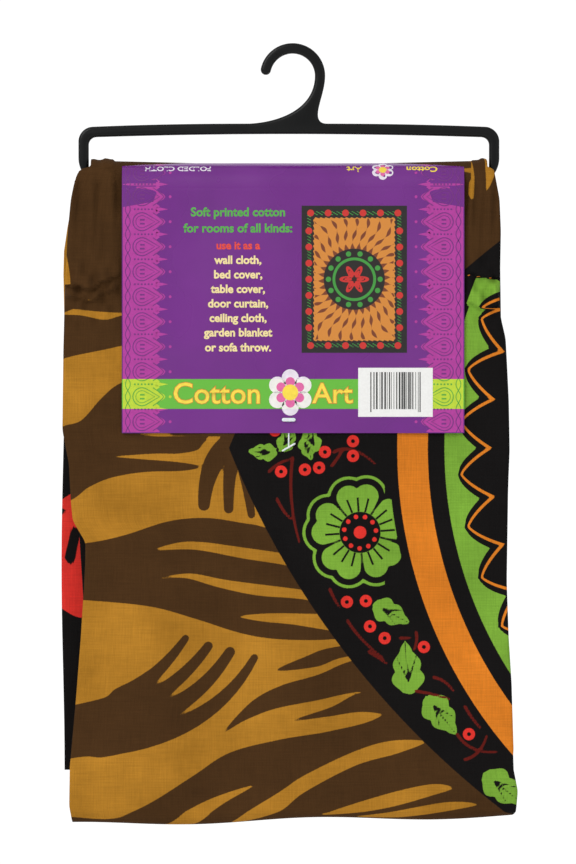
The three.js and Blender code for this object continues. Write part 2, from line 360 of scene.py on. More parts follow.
class BuildHanger(bpy.types.Operator):
    """Build the hanger, one moulding with a hook, a stem and a four-sided frame"""

    bl_idname = "tapestry.hanger"
    bl_label = "Hanger"

    def execute(self, context):
        sizes = context.scene.hanger_sizes
        rounding = sizes.rounding
        depth = (HANGER_HIGH[1] - HANGER_LOW[1]) * MM
        curve = bpy.data.curves.new("Hanger outline", "CURVE")
        curve.dimensions = "2D"
        curve.fill_mode = "BOTH"
        curve.extrude = depth / 2 - rounding
        curve.bevel_depth = rounding
        curve.bevel_resolution = 3
        curve.offset = -rounding
        for outline in (hanger_outline(sizes), hanger_opening(sizes)):
            spline = curve.splines.new("POLY")
            spline.points.add(len(outline) - 1)
            spline.use_cyclic_u = True
            for point, (x, z) in zip(spline.points, outline):
                point.co = (x * MM, z * MM, 0, 1)
        drawn = bpy.data.objects.new("Hanger outline", curve)
        context.scene.collection.objects.link(drawn)
        mesh = evaluated_copy(drawn, "Hanger")
        bpy.data.objects.remove(drawn)
        shaped = bmesh.new()
        shaped.from_mesh(mesh)
        for vertex in shaped.verts:
            x, y, z = vertex.co
            vertex.co = (x, -z, y)
        bmesh.ops.remove_doubles(shaped, verts=shaped.verts, dist=0.00001)
        bmesh.ops.recalc_face_normals(shaped, faces=shaped.faces)
        shaped.to_mesh(mesh)
        shaped.free()
        mesh.materials.clear()
        mesh.materials.append(moulded_plastic())
        mesh.shade_smooth()
        mesh.set_sharp_from_angle(angle=math.radians(40))
        hanger = bpy.data.objects.new("hanger", mesh)
        context.scene.collection.objects.link(hanger)
        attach(hanger, "hanger")
        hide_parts("hanger_frame")
        return {"FINISHED"}


# ---- What is printed on the cloth ----
# Each ink has a depth at every point, in millimetres: above 0 inside its shapes. The material draws the ink
# where the depth is above 0, so that an edge stays sharp between the points of the mesh.


def disc(x, z, cx, cz, radius):
    """Depth inside a disc."""
    return radius - np.hypot(x - cx, z - cz)


def stroke(x, z, points, widths):
    """Depth inside a line whose half width changes from point to point."""
    depth = np.full(x.shape, -FAR)
    sizes = np.interp(np.linspace(0, 1, len(points)), np.linspace(0, 1, len(widths)), widths)
    for (ax, az), (bx, bz), start, end in zip(points, points[1:], sizes, sizes[1:]):
        dx, dz = bx - ax, bz - az
        t = np.clip(((x - ax) * dx + (z - az) * dz) / (dx * dx + dz * dz), 0, 1)
        gap = np.hypot(x - ax - t * dx, z - az - t * dz)
        depth = np.maximum(depth, start + (end - start) * t - gap)
    return depth


def tongue(x, z, root, bend, tip, widths):
    """Depth inside a bent stroke that follows a curve of three points."""
    return stroke(x, z, bezier([root, bend, tip], 14), widths)


def round_outline(points, steps=6):
    """A smooth closed curve through the points."""
    ends = np.asarray(points, float)
    before, after, later = np.roll(ends, 1, 0), np.roll(ends, -1, 0), np.roll(ends, -2, 0)
    curve = []
    for p0, p1, p2, p3 in zip(before, ends, after, later):
        for t in np.arange(steps) / steps:
            turn = 2 * p1 + (p2 - p0) * t + (2 * p0 - 5 * p1 + 4 * p2 - p3) * t**2
            curve.append(0.5 * (turn + (3 * p1 - p0 - 3 * p2 + p3) * t**3))
    return np.array(curve)


def patch(x, z, points, steps=6):
    """Depth inside a smooth closed shape through the points."""
    outline = round_outline(points, steps)
    low, high = outline.min(0) - 9, outline.max(0) + 9
    near = (x > low[0]) & (x < high[0]) & (z > low[1]) & (z < high[1])
    px, pz = x[near], z[near]
    gap = np.full(px.shape, FAR)
    inside = np.zeros(px.shape, bool)
    for (ax, az), (bx, bz) in zip(outline, np.roll(outline, -1, 0)):
        dx, dz = bx - ax, bz - az
        t = np.clip(((px - ax) * dx + (pz - az) * dz) / (dx * dx + dz * dz + 1e-12), 0, 1)
        gap = np.minimum(gap, np.hypot(px - ax - t * dx, pz - az - t * dz))
        crosses = (az > pz) != (bz > pz)
        inside ^= crosses & (px < ax + (pz - az) / (dz if dz else 1e-9) * dx)
    depth = np.full(x.shape, -9.0)
    depth[near] = np.where(inside, gap, -gap)
    return depth


def joined(*depths):
    """Depth inside any of the shapes."""
    return np.maximum.reduce(depths)


def melted(*depths, soft=3.0):
    """Depth inside any of several shapes, with the gaps where they part rounded off as ink fills them."""
    together = depths[0]
    for depth in depths[1:]:
        near = np.clip(soft - np.abs(together - depth), 0, None)
        together = np.maximum(together, depth) + near ** 2 / (4 * soft)
    return together


def cut(depth, *holes):
    """Depth inside a shape and outside the holes."""
    return np.minimum(depth, -np.maximum.reduce(holes))


def brown_tongues(x, z):
    """The long bent tongues that lick across the ochre ground."""
    upper = joined(
        patch(x, z, [(-130, 60), (120, 60), (116, -60), (112, -134), (-40, -134), (-88, -133), (-112, -131),
                     (-135, -128)]),
        patch(x, z, [(-135, -137), (-112, -134), (-96, -136.5), (-84, -134), (-60, -136), (-62, -143),
                     (-88, -150), (-112, -155), (-135, -160)]),
        patch(x, z, [(-40, -136), (60, -120), (110, -90), (60, -190), (-26, -192), (-35, -196), (-70, -192),
                     (-80, -165)]),
    )
    upper = cut(
        upper,
        tongue(x, z, (86, 28), (90, 12), (91.7, 3), [5, 3.4, 0.6]),
        tongue(x, z, (101, 30), (102, 16), (99, 8), [3.4, 2.6, 0.5]),
        patch(x, z, [(-135, -14), (-118, -20), (-113, -42), (-113, -60), (-135, -60)]),
    )
    left = joined(
        patch(x, z, [(-120, -193), (-108, -188), (-97, -176), (-86, -168), (-60, -160), (-50, -184),
                     (-44, -196), (-46, -200), (-50, -203.5), (-66, -205.5), (-90, -206.5), (-60, -209),
                     (-47, -211.4), (-56, -213.6), (-75, -214.2), (-92, -217), (-104, -222), (-112, -228),
                     (-125, -232), (-135, -215)]),
    )
    left = cut(
        left,
        tongue(x, z, (-78, -195), (-62, -196), (-40, -191), [0.4, 1.4, 3.6]),
        tongue(x, z, (-90, -206.6), (-70, -205.4), (-42, -207.4), [0.3, 1.4, 1.6]),
    )
    hanging = joined(
        tongue(x, z, (-28, -198), (-44, -205), (-45.2, -231), [6, 5, 3]),
        tongue(x, z, (-30, -203), (-33, -216), (-32.6, -233), [4, 3.2, 2.4]),
        tongue(x, z, (-26, -205), (-23, -222), (-21, -236), [4, 2.6, 1.9]),
        tongue(x, z, (-16, -218), (-15, -226), (-12, -238), [4, 2.2, 1.6]),
    )
    broad = cut(
        patch(x, z, [(-135, -252), (-106, -250.5), (-86, -246.5), (-64, -239.5), (-45, -237.6), (-27, -240),
                     (-10, -244), (30, -262), (40, -296), (20, -299.6), (-6, -299.6), (-26, -296.6),
                     (-50, -289), (-73, -282.8), (-106, -279.6), (-135, -278)]),
        patch(x, z, [(-70, -254), (-58, -250.2), (-46, -250), (-28, -252.4), (0, -256.5), (28, -262),
                     (28, -270), (0, -262.5), (-26, -258.2), (-50, -253.8)]),
        patch(x, z, [(-67, -268.3), (-52, -266), (-32, -269.6), (10, -275), (40, -280), (40, -290),
                     (10, -280), (-18, -277.2), (-38, -273), (-54, -268.4)]),
        patch(x, z, [(-27, -288), (-16, -286.6), (0, -286.4), (30, -288), (30, -296), (0, -292),
                     (-16, -290.4)]),
    )
    hand = melted(
        patch(x, z, [(-135, -338), (-111, -333), (-95, -329), (-84, -324), (-77, -328), (-75, -336),
                     (-80, -348), (-92, -357.5), (-111, -360), (-135, -364)]),
        tongue(x, z, (-87, -330), (-68, -318), (-54.6, -299), [6, 3.2, 1.8]),
        tongue(x, z, (-84, -335), (-60, -326), (-43, -303), [6, 3.5, 2.3]),
        tongue(x, z, (-83, -342), (-50, -335), (-32, -306), [6.5, 4.1, 2.6]),
        tongue(x, z, (-98, -353), (-42, -349.5), (-19.5, -309), [6.4, 4.3, 1.9]),
    )
    wedges = joined(
        patch(x, z, [(-8, -315.4), (6, -308.6), (22, -303.4), (60, -300), (60, -307), (28, -308.4),
                     (12, -313.6)]),
        patch(x, z, [(-34.6, -346.4), (-21, -331.4), (-6, -323.2), (13, -317.6), (30, -310.6), (60, -304),
                     (60, -326), (34, -326.4), (13, -330.6), (-9, -335), (-24, -340.8)]),
        patch(x, z, [(0.6, -340.8), (20, -334), (34, -327), (60, -322), (60, -338), (36, -336.6),
                     (18, -339)]),
    )
    foot = cut(
        patch(x, z, [(-135, -392.6), (-96, -391), (-84, -388.4), (-70, -381.6), (-50, -368.8),
                     (-32, -357.4), (-6, -350.6), (19, -346.4), (44.6, -339), (60, -322), (130, -322),
                     (130, -430), (-135, -430)]),
        patch(x, z, [(-66, -395), (-44, -382), (-20.4, -374.2), (-34, -382.6), (-52, -394)]),
        patch(x, z, [(-32, -394), (-6, -377), (6, -369), (31, -357), (50, -351.4), (67.6, -351.8),
                     (54, -357.6), (32, -364), (6, -377.6), (-8, -388)]),
        patch(x, z, [(14, -390), (44, -379.6), (70, -373.6), (81.6, -375.4), (72, -379), (46, -386)]),
        patch(x, z, [(30, -392), (57, -386.4), (80, -382.6), (94.4, -383.8), (80, -387), (52, -391.4)]),
    )
    return joined(upper, left, hanging, broad, hand, wedges, foot)


RING = (291.0, -202.0)  # mm, centre of the great ring that crosses the front at the right
ARCHES = 48  # round the whole ring
BAND_RADIUS, BAND_HALF_WIDTH = 229.8, 7.8  # mm, the ring's orange band
GREEN_RADIUS = 213.5  # mm, outer edge of the green inside the band
ARCH_TIPS, ARCH_FEET = 207, 197  # mm, how far out the arches reach, and where their width is measured
PETAL_STOP = 242  # mm from the ring's centre, just outside the band, where the petals end


def black_border(x, z):
    """The black field round the ring, and the black border along the sheet's ends."""
    field = joined(
        np.minimum(disc(x, z, 374, -40, 437.6), disc(x, z, 374, -364, 437.6)),
        np.minimum(z - 166, 900 - z),
    )
    return joined(field, -700 - z)


def ring_depths(x, z):
    """The ring's orange band, the green inside it, and the arches that bite into the green."""
    radius = np.hypot(x - RING[0], z - RING[1])
    turn = np.arctan2(z - RING[1], x - RING[0]) * ARCHES / (2 * math.pi)
    pitch = 2 * math.pi / ARCHES
    across = np.abs(turn - np.floor(turn) - 0.5) * pitch * radius
    half = pitch * ARCH_FEET / 2 * (np.clip(ARCH_TIPS - radius, 0, 60) / 10) ** 0.55
    arches = np.where(radius < ARCH_TIPS, half - across, ARCH_TIPS - radius - across)
    band = BAND_HALF_WIDTH - np.abs(radius - BAND_RADIUS)
    inner_green = np.minimum(GREEN_RADIUS - radius, -arches)
    return band, inner_green, arches


FLOWER = (34.4, -245.0)
PETAL_TURNS = (94, 22, -50, -122, 166)  # degrees
BERRIES = (
    (-5.9, -214), (6.3, -213), (13.5, -212), (16.5, -204), (30.8, -198.5), (30.8, -206), (27.7, -280.5),
    (37.4, -280), (39.5, -293), (47, -299), (67, -303.5), (90, -348), (-9, -193), (60, 40), (96, 74),
    (20, 60),
)
LEAVES = (
    (50.5, -286.5, 10.5, -28), (58.5, -314, 13.5, 95), (76, -338.5, 12.5, -52), (108, -376, 13, -38),
    (-15.5, -204, 7.5, 176), (7.5, -202.5, 6.4, -68), (-2.5, -197, 7.5, 62), (9, -197, 7.5, 118),
)
TWIGS = (
    ((0, -207), (-3, -228), (3.5, -250)), ((-8, -228), (-4, -236), (-1, -238)),
    ((21, -204), (30, -199), (42, -210)), ((-12, -214), (-7, -209), (-2, -208)),
    ((20, -211), (24, -206), (26, -202)), ((19, -274), (22, -281), (24, -283)),
    ((28, -290), (34, -300), (46, -309)), ((39, -306), (44, -309), (48, -312)),
    ((55, -299), (58, -299), (60, -299)), ((63, -296), (64, -300), (62, -305)),
    ((63, -326), (70, -327), (80, -330)), ((72, -319), (78, -320), (82, -326)),
    ((84, -348), (90, -358), (104, -357)), ((88, -361), (96, -359), (99, -349)),
    ((88, -334), (92, -341), (96, -345)),
)


def petals(x, z, cx, cz, turns, reach):
    """Depth inside heart-shaped petals round a centre."""
    shapes = []
    for degrees in turns:
        for lean in (-14, 14):
            angle = math.radians(degrees + lean)
            tip = (cx + 0.74 * reach * math.cos(angle), cz + 0.74 * reach * math.sin(angle))
            shapes.append(stroke(x, z, [(cx, cz), tip], [0.05 * reach, 0.25 * reach]))
    return joined(*shapes)


def leaf_shape(x, z, cx, cz, size, degrees):
    """Depth inside a pointed leaf with toothed sides."""
    angle = math.radians(degrees)
    along_leaf = ((x - cx) * math.cos(angle) + (z - cz) * math.sin(angle)) / size
    across = np.abs(-(x - cx) * math.sin(angle) + (z - cz) * math.cos(angle))
    taper = np.clip(1 + along_leaf, 0, 2) ** 0.5 * np.clip(1 - along_leaf, 0, 2) ** 0.95
    teeth = 1 + 0.34 * np.abs(np.sin(along_leaf * 4.4 + 0.5))
    ends = (1.0 - np.abs(along_leaf)) * size
    return np.minimum(0.44 * size * taper * teeth - across, ends + 0.4)


def leaf_veins(x, z, cx, cz, size, degrees):
    """Depth inside a leaf's three veins."""
    lines = []
    for lean, length in ((0, 0.95), (38, 0.72), (-38, 0.72)):
        angle = math.radians(degrees + lean)
        turn = math.radians(degrees)
        stalk = (cx - 0.5 * size * math.cos(turn), cz - 0.5 * size * math.sin(turn))
        tip = (cx + length * size * math.cos(angle), cz + length * size * math.sin(angle))
        lines.append(stroke(x, z, [stalk, tip], [0.6, 0.25]))
    return joined(*lines)


def border_roses(x, z):
    """Places of the big red roses in the sheet's border, as depths of a rose and of its dark lines."""
    shift = (x + 114 + 44) % 88 - 44
    rise = z - 236
    turn = np.arctan2(rise, shift)
    reach = np.hypot(shift, rise)
    rose = 34 * (0.9 + 0.1 * np.cos(5 * turn)) - reach
    lines = joined(
        1.3 - np.abs(reach - 9 - 1.6 * np.cos(5 * turn)),
        1.3 - np.abs(reach - 20 - 2.4 * np.cos(5 * turn + math.pi)),
        3.4 - reach,
    )
    return rose, np.where(rose > 0, lines, -5)


def print_depths(x, z):
    """Every shape of the print with its depth at each point, for the material to read."""
    band, inner_green, arches = ring_depths(x, z)
    rose, rose_lines = border_roses(x, z)
    leaves = joined(*(leaf_shape(x, z, *leaf) for leaf in LEAVES))
    leaf_lines = joined(*(leaf_veins(x, z, *leaf) for leaf in LEAVES))
    flower = petals(x, z, *FLOWER, PETAL_TURNS, 25)
    past_band = np.hypot(x - RING[0], z - RING[1]) - PETAL_STOP
    return {
        "brown_depth": brown_tongues(x, z),
        "field_depth": black_border(x, z),
        "band_depth": band,
        "arch_depth": arches,
        "inner_depth": inner_green,
        "petal_depth": np.minimum(flower, past_band),
        "leaf_depth": leaves,
        "twig_depth": joined(*(tongue(x, z, *twig, [0.85, 0.75, 0.6]) for twig in TWIGS)),
        "rose_depth": rose,
        "line_depth": joined(np.minimum(leaf_lines, leaves + 0.2), rose_lines),
    }


# ---- Cloth ----

# Where each pleat of the sheet lies, counted from the outside of the fold in.
PLY_LAYER = (4, 3, 2, 1, 0, 5, 6, 7, 8, 9)
OUTER_PLY = 4
PLY_WIDTH = 226.0  # mm of cloth in one pleat
# The side arms' path through the plies widens by this much for each millimetre up, as the pack swings.
SWING_SLOPE = math.tan(math.radians(31))
TUCK = 78.0  # mm of cloth taken up by the two small tucks across the front
PLIES = 20  # layers of cloth in each leaf: ten pleats, folded in half
FOLD_RADIUS = 10  # mm, of the outermost cloth over the bar
HEM_STEP = 21.0  # mm, the long hem hangs this far below the short one
LOOSE_DROP = 22.5  # mm below the bar's axis where the leaves hang free of it
FOLD_GAP = 6.7  # mm from the hanger's outside to the fold's end, past the side arm
BACK_LEFT, BACK_RIGHT = -117.4, 102.0  # mm, the back leaf's edges
LIP_HEIGHTS = (4.6, 3.8)  # mm that the upper and the lower tuck's lips stand out
GATHER_HEIGHT = 1.7  # mm, of the gathers by the arms and the pucker between the tucks
MOST_RELIEF = 6.5  # mm
# The front leaf's edges: (height, place across), and the lips of its two tucks: (place across, height).
LEFT_EDGE = (
    (-56, -103.4), (-58, -107), (-62, -109.8), (-68, -111.5), (-75.5, -113), (-91, -114.5), (-121, -116),
    (-152, -116.8), (-193, -117.3), (-210, -114), (-229, -113), (-239, -112), (-250, -105.5), (-260, -105.6),
    (-275, -106.4), (-299, -107.9), (-332, -110.5), (-365, -113.5), (-385, -113.8), (-396, -111.5),
)
RIGHT_EDGE = (
    (-55, 99.5), (-58, 102), (-63, 103), (-75, 105.2), (-91, 105.8), (-114, 105.3), (-128, 104.8),
    (-136, 105.6), (-146, 107.8), (-178, 109.3), (-203, 109.9), (-225, 109.3), (-270, 108.8), (-299, 109.9),
    (-322, 111.4), (-356, 112.4), (-363, 111.8), (-377, 114.5), (-387, 113.6), (-396, 111),
)
UPPER_LIP = (
    (-118, -118.5), (-110, -120.5), (-102, -121), (-95, -117), (-84, -111), (84, -112), (92, -114),
    (112, -117),
)
LOWER_LIP = (
    (-118, -124.5), (-110, -126), (-102, -127.5), (-92, -121.5), (-84, -116), (84, -127.5), (96, -131),
    (112, -130),
)


def along(table, value):
    """A smooth reading of a table of (place, size)."""
    places, sizes = np.array(sorted(table)).T
    reach = 1.6
    shifts = (-1, -0.5, 0, 0.5, 1)
    return sum(np.interp(value + reach * s, places, sizes) for s in shifts) / len(shifts)


class ClothShape:
    """Where the folded sheet runs: rows lead along the fold and columns lead across the ten pleats."""

    def __init__(self, sizes):
        self.layer = sizes.layer / MM
        self.out = -FRONT_LOW[1]
        self.inner = self.out - PLIES * self.layer
        self.turn_middle = (self.out + self.inner) / 2
        self.under_card = CARD_HIGH[2] - BAR_AXIS - 0.8
        self.reach = self.under_card - sizes.under_card / MM
        self.beside = self.reach + sizes.shoulder / MM
        self.loose = BAR_AXIS - LOOSE_DROP
        self.front_turn = FRONT_LOW[2] + (self.out - self.inner) / 2
        self.long_hem = BACK_LOW[2]
        self.short_hem = BACK_LOW[2] + HEM_STEP
        self.arm_half = HANGER_HIGH[1]
        self.fold_left = HANGER_LOW[0] + FOLD_GAP
        self.fold_right = HANGER_HIGH[0] - FOLD_GAP
        self.wave = sizes.wave / MM

    def rows(self):
        """The fold's path: for each row its part, and an angle or a height."""
        axis = BAR_AXIS
        front = np.concatenate([
            np.linspace(axis, -104, 22)[1:],
            np.linspace(-104, -137, 42)[1:],
            np.linspace(-137, -190, 38)[1:],
            np.linspace(-190, self.front_turn, 170)[1:],
        ])
        back = np.concatenate([
            np.linspace(self.short_hem, -294, 12)[:-1],
            np.linspace(-294, -218, 44)[:-1],
            np.linspace(-218, axis, 20),
        ])
        path = [("back_out", z) for z in back]
        path += [("over_out", a) for a in np.linspace(0, math.pi, 30)[1:]]
        path += [("front_out", z) for z in front]
        path += [("turn", a) for a in np.linspace(0, math.pi, 9)[1:]]
        path += [("front_in", z) for z in np.linspace(self.front_turn, axis, 10)[1:]]
        path += [("over_in", a) for a in np.linspace(math.pi, 0, 8)[1:]]
        path += [("back_in", z) for z in np.linspace(axis, self.long_hem, 26)[1:]]
        return path

    def columns(self):
        """Across the pleats: each column's depth in the stack, its place from 0 left to 1 right, how far it
        bulges past the edge, and its flat place across the sheet."""
        depth, place, bulge, flat = [], [], [], []
        for ply, layer in enumerate(PLY_LAYER):
            steps = np.linspace(0, 1, 3)
            if ply == OUTER_PLY:
                steps = np.concatenate([np.linspace(0, 0.36, 54)[:-1], np.linspace(0.36, 1, 131)])
            count = len(steps)
            rightwards = ply % 2 == 0
            depth += [(layer + 0.5) * self.layer] * count
            place += list(steps if rightwards else 1 - steps)
            bulge += [0.0] * count
            flat += list((ply - OUTER_PLY + steps) * PLY_WIDTH)
            if ply + 1 < len(PLY_LAYER):
                half = (PLY_LAYER[ply + 1] - layer) * self.layer / 2
                for angle in (45, 90, 135):
                    turn = math.radians(angle)
                    depth.append((layer + 0.5) * self.layer + half * (1 - math.cos(turn)))
                    place.append(1.0 if rightwards else 0.0)
                    bulge.append(min(abs(half), 1.1) * math.sin(turn))
                    flat.append((ply - OUTER_PLY + 1) * PLY_WIDTH)
        return tuple(np.array(values) for values in (depth, place, bulge, flat))

    def stack_edge(self, depth, side, z):
        """How far each ply's edge stops short of the outermost one, as pleats never line up."""
        seed = depth * 7.3 + side * 2.1
        return 0.9 * (1 + np.sin(seed)) * (0.5 + 0.5 * np.sin(z * 0.021 + seed)) * ease(depth, 0.3, 1.2)

    def cross_section(self, part, value, depth, x):
        """Depth in the stack as (y, z) at one row."""
        past_right = ease(x, CARD_HIGH[0] + 0.5, CARD_HIGH[0] + 6)
        beside = joined(past_right, ease(-x, 0.5 - CARD_LOW[0], 6 - CARD_LOW[0]))
        outer = self.under_card + (self.beside - self.under_card) * beside
        spread = (outer - self.reach) / (PLIES * self.layer)
        near_bar = outer - spread * depth if part.endswith("out") else self.reach + spread * depth
        if part.startswith("over"):
            return near_bar * math.cos(value), BAR_AXIS + near_bar * math.sin(value)
        side = 1 if part.startswith("back") else -1
        if part == "turn":
            ring = (self.out - self.inner) / 2 - depth
            return -self.turn_middle - ring * math.cos(value), self.front_turn - ring * math.sin(value)
        hanging = self.out - depth if part.endswith("out") else self.inner + depth
        lift = ease(value, self.loose, BAR_AXIS)
        return side * (hanging + (near_bar - hanging) * lift), np.full(x.shape, float(value))

    def edges(self, part, y, z, depth):
        """The left and right edges at each point, which lap round the side arms and stay clear of them."""
        if part.startswith("back"):
            left = BACK_LEFT + 0.8 * np.sin(z * 0.03) + 6.5 * ease(z, -110, -62)
            right = BACK_RIGHT + 0.5 * np.sin(z * 0.027)
        else:
            left = along(LEFT_EDGE, z)
            right = along(RIGHT_EDGE, z)
        swept = 1.16 * self.arm_half + SWING_SLOPE * np.clip(z - BAR_AXIS, 0, None)
        past_arm = ease(np.abs(y) - swept, 0.6, 2.4)
        below_top = ease(-z, 56.5, 60.5)
        below_bar = ease(-z, 69, 76)
        lap = joined(past_arm * below_top, below_bar)
        left = self.fold_left + (left - self.fold_left) * lap + self.stack_edge(depth, 1, z)
        right = self.fold_right + (right - self.fold_right) * lap - self.stack_edge(depth, 2, z)
        return left, right

    def relief(self, part, x, z, depth):
        """How far the cloth stands out from flat: soft waves, gathers by the arms, and the two tucks."""
        if part not in ("front_out", "over_out", "back_out"):
            return 0 * x
        waves = np.sin(x * 0.042 + z * 0.017 + 0.6) * np.sin(z * 0.031 - x * 0.011)
        waves = waves + 0.5 * np.sin(x * 0.09 - z * 0.024)
        outermost = 1 - ease(depth, 0.25, 0.6)
        relief = outermost * self.wave * (0.5 + 0.5 * waves) * ease(-z, 90, 150)
        past_right = ease(x, CARD_HIGH[0] + 0.3, CARD_HIGH[0] + 5)
        beside = joined(past_right, ease(-x, 0.3 - CARD_LOW[0], 5 - CARD_LOW[0]))
        gathers = 0.8 * np.sin(x * 0.62 + 0.05 * z) + 0.6 * np.sin(x * 1.27 - 0.06 * z + 1)
        fade = 1 - ease(-z, 62, 116)
        height = GATHER_HEIGHT if part == "front_out" else 0.5
        relief = relief + outermost * beside * fade * (0.8 + gathers) * height
        if part == "front_out":
            wobble = 1.2 * np.sin(x * 0.5) + 0.8 * np.sin(x * 1.1 + 2)
            for lips, size in zip((UPPER_LIP, LOWER_LIP), LIP_HEIGHTS):
                above = z - along(lips, x) - wobble * 0.5
                bulge = np.where(above > 0, np.exp(-above / 6) * ease(above, -0.2, 1.0), 0)
                relief = relief + outermost * beside * size * bulge
            pucker = np.sin(x * 0.55 + z * 0.35) + 0.6 * np.sin(x * 0.9 - z * 0.28)
            pucker = np.exp(-((z + 122) / 15) ** 2) * pucker
            relief = relief + outermost * beside * GATHER_HEIGHT * pucker
            kink = np.exp(-((x + 104) / 12) ** 2) * np.exp(-((z + 244 + 0.5 * (x + 104)) / 7) ** 2)
            relief = relief + outermost * 1.2 * kink
        return np.clip(relief, 0, MOST_RELIEF)

    def build(self):
        """Every point of the sheet, its flat place, and where it lies on the print."""
        rows = self.rows()
        depth, place, bulge, flat = self.columns()
        points, down, print_z = [], [], []
        travelled = 0.0
        guess = self.fold_left + place * (self.fold_right - self.fold_left)
        before = None
        for part, value in rows:
            y, z = self.cross_section(part, value, depth, guess)
            left, right = self.edges(part, y, z, depth)
            x = left + place * (right - left) + np.where(place > 0.5, bulge, -bulge)
            y, z = self.cross_section(part, value, depth, x)
            relief = self.relief(part, x, z, depth)
            if part.startswith("over"):
                away = np.hypot(y, z - BAR_AXIS)
                y = y * (1 + relief / away)
                z = z + (z - BAR_AXIS) * np.clip(relief, -0.3, 1.0) / away
            elif part == "turn":
                sag = (1.2 * np.sin(x * 0.05 + 1) + 0.02 * x) * math.sin(value)
                z = z + sag * (0.4 + 0.6 * ease(-depth, -4, 0))
            else:
                y = y + math.copysign(1, y[0]) * relief
            line = np.array([y[len(y) // 2], z[len(z) // 2]])
            travelled += 0 if before is None else float(np.hypot(*(line - before)))
            before = line
            if part == "front_out":
                tucked = 1.07 * ease(z, along(UPPER_LIP, x) - 0.5, along(UPPER_LIP, x) + 0.5)
                tucked = tucked - 0.07 * ease(z, along(LOWER_LIP, x) - 0.5, along(LOWER_LIP, x) + 0.5)
                shown = z + TUCK * tucked
            elif part == "over_out":
                shown = BAR_AXIS + TUCK + (math.pi - value) * FOLD_RADIUS + 0 * x
            elif part.startswith("back"):
                shown = BAR_AXIS + TUCK + math.pi * FOLD_RADIUS + (BAR_AXIS - z)
            elif part == "turn":
                shown = self.front_turn - 4.5 * value + 0 * x
            else:
                shown = -420 - travelled + 0 * x
            points.append(np.stack([x, y, z], -1))
            down.append(travelled + 0 * x)
            print_z.append(shown)
        return np.array(points), np.array(down), flat, np.array(print_z)


def berry_gap(tree, spot):
    """Nodes for the distance from a spot on the print to the nearest berry's middle, in millimetres."""
    nearest = None
    for x, z in BERRIES:
        gap = add_node(
            tree, "ShaderNodeVectorMath", {0: spot, 1: (x, z, 0)}, operation="DISTANCE"
        ).outputs["Value"]
        if nearest is not None:
            gap = add_node(tree, "ShaderNodeMath", {0: nearest, 1: gap}, operation="MINIMUM").outputs[0]
        nearest = gap
    return nearest


def ring_of(tree, reach, turn, count, shift):
    """Nodes for the distance along a ring from the nearest of its evenly spaced spokes, in millimetres."""
    share = add_node(
        tree, "ShaderNodeMath", {0: turn, 1: count / (2 * math.pi), 2: shift}, operation="MULTIPLY_ADD"
    )
    part = add_node(tree, "ShaderNodeMath", {0: share.outputs[0]}, operation="FRACT")
    off = add_node(tree, "ShaderNodeMath", {0: part.outputs[0], 1: 0.5}, operation="SUBTRACT")
    angle = add_node(
        tree, "ShaderNodeMath", {0: off.outputs[0], 1: 2 * math.pi / count}, operation="MULTIPLY"
    )
    away = add_node(tree, "ShaderNodeMath", {0: angle.outputs[0], 1: reach}, operation="MULTIPLY")
    return add_node(tree, "ShaderNodeMath", {0: away.outputs[0]}, operation="ABSOLUTE").outputs[0]


def flower_heart(tree, spot, petal):
    """Nodes for the flower's dark heart, its red seeds and the fine veins on its petals, as depths."""
    from_heart = add_node(
        tree, "ShaderNodeVectorMath", {0: spot, 1: (*FLOWER, 0)}, operation="SUBTRACT"
    ).outputs[0]
    reach = add_node(tree, "ShaderNodeVectorMath", {0: from_heart}, operation="LENGTH").outputs["Value"]
    parts = add_node(tree, "ShaderNodeSeparateXYZ", {"Vector": from_heart}).outputs
    turn = add_node(tree, "ShaderNodeMath", {0: parts["Y"], 1: parts["X"]}, operation="ARCTAN2").outputs[0]
    heart = add_node(tree, "ShaderNodeMath", {0: 10.5, 1: reach}, operation="SUBTRACT").outputs[0]
    seed_side = ring_of(tree, reach, turn, 11, 0.3)
    seed_out = add_node(tree, "ShaderNodeMath", {0: reach, 1: 8.2}, operation="SUBTRACT").outputs[0]
    offset = add_node(tree, "ShaderNodeCombineXYZ", {"X": seed_side, "Y": seed_out}).outputs[0]
    seed_gap = add_node(tree, "ShaderNodeVectorMath", {0: offset}, operation="LENGTH").outputs["Value"]
    seeds = add_node(tree, "ShaderNodeMath", {0: 1.15, 1: seed_gap}, operation="SUBTRACT").outputs[0]
    eye = add_node(tree, "ShaderNodeMath", {0: 3.2, 1: reach}, operation="SUBTRACT").outputs[0]
    red = add_node(tree, "ShaderNodeMath", {0: seeds, 1: eye}, operation="MAXIMUM").outputs[0]
    vein_side = ring_of(tree, reach, turn, 20, 0.28)
    vein = add_node(tree, "ShaderNodeMath", {0: 0.52, 1: vein_side}, operation="SUBTRACT").outputs[0]
    middle = add_node(tree, "ShaderNodeMath", {0: reach, 1: 14.2}, operation="SUBTRACT")
    off_middle = add_node(tree, "ShaderNodeMath", {0: middle.outputs[0]}, operation="ABSOLUTE")
    ends = add_node(
        tree, "ShaderNodeMath", {0: 3.6, 1: off_middle.outputs[0]}, operation="SUBTRACT"
    ).outputs[0]
    short = add_node(tree, "ShaderNodeMath", {0: vein, 1: ends}, operation="MINIMUM").outputs[0]
    veins = add_node(tree, "ShaderNodeMath", {0: short, 1: petal}, operation="MINIMUM").outputs[0]
    return heart, red, veins


def outline_at(tree, depth, offset, half):
    """Nodes for a line that follows a shape at an offset inside it, or outside where that is below 0."""
    off = add_node(tree, "ShaderNodeMath", {0: depth, 1: offset}, operation="SUBTRACT")
    away = add_node(tree, "ShaderNodeMath", {0: off.outputs[0]}, operation="ABSOLUTE")
    return add_node(tree, "ShaderNodeMath", {0: half, 1: away.outputs[0]}, operation="SUBTRACT").outputs[0]


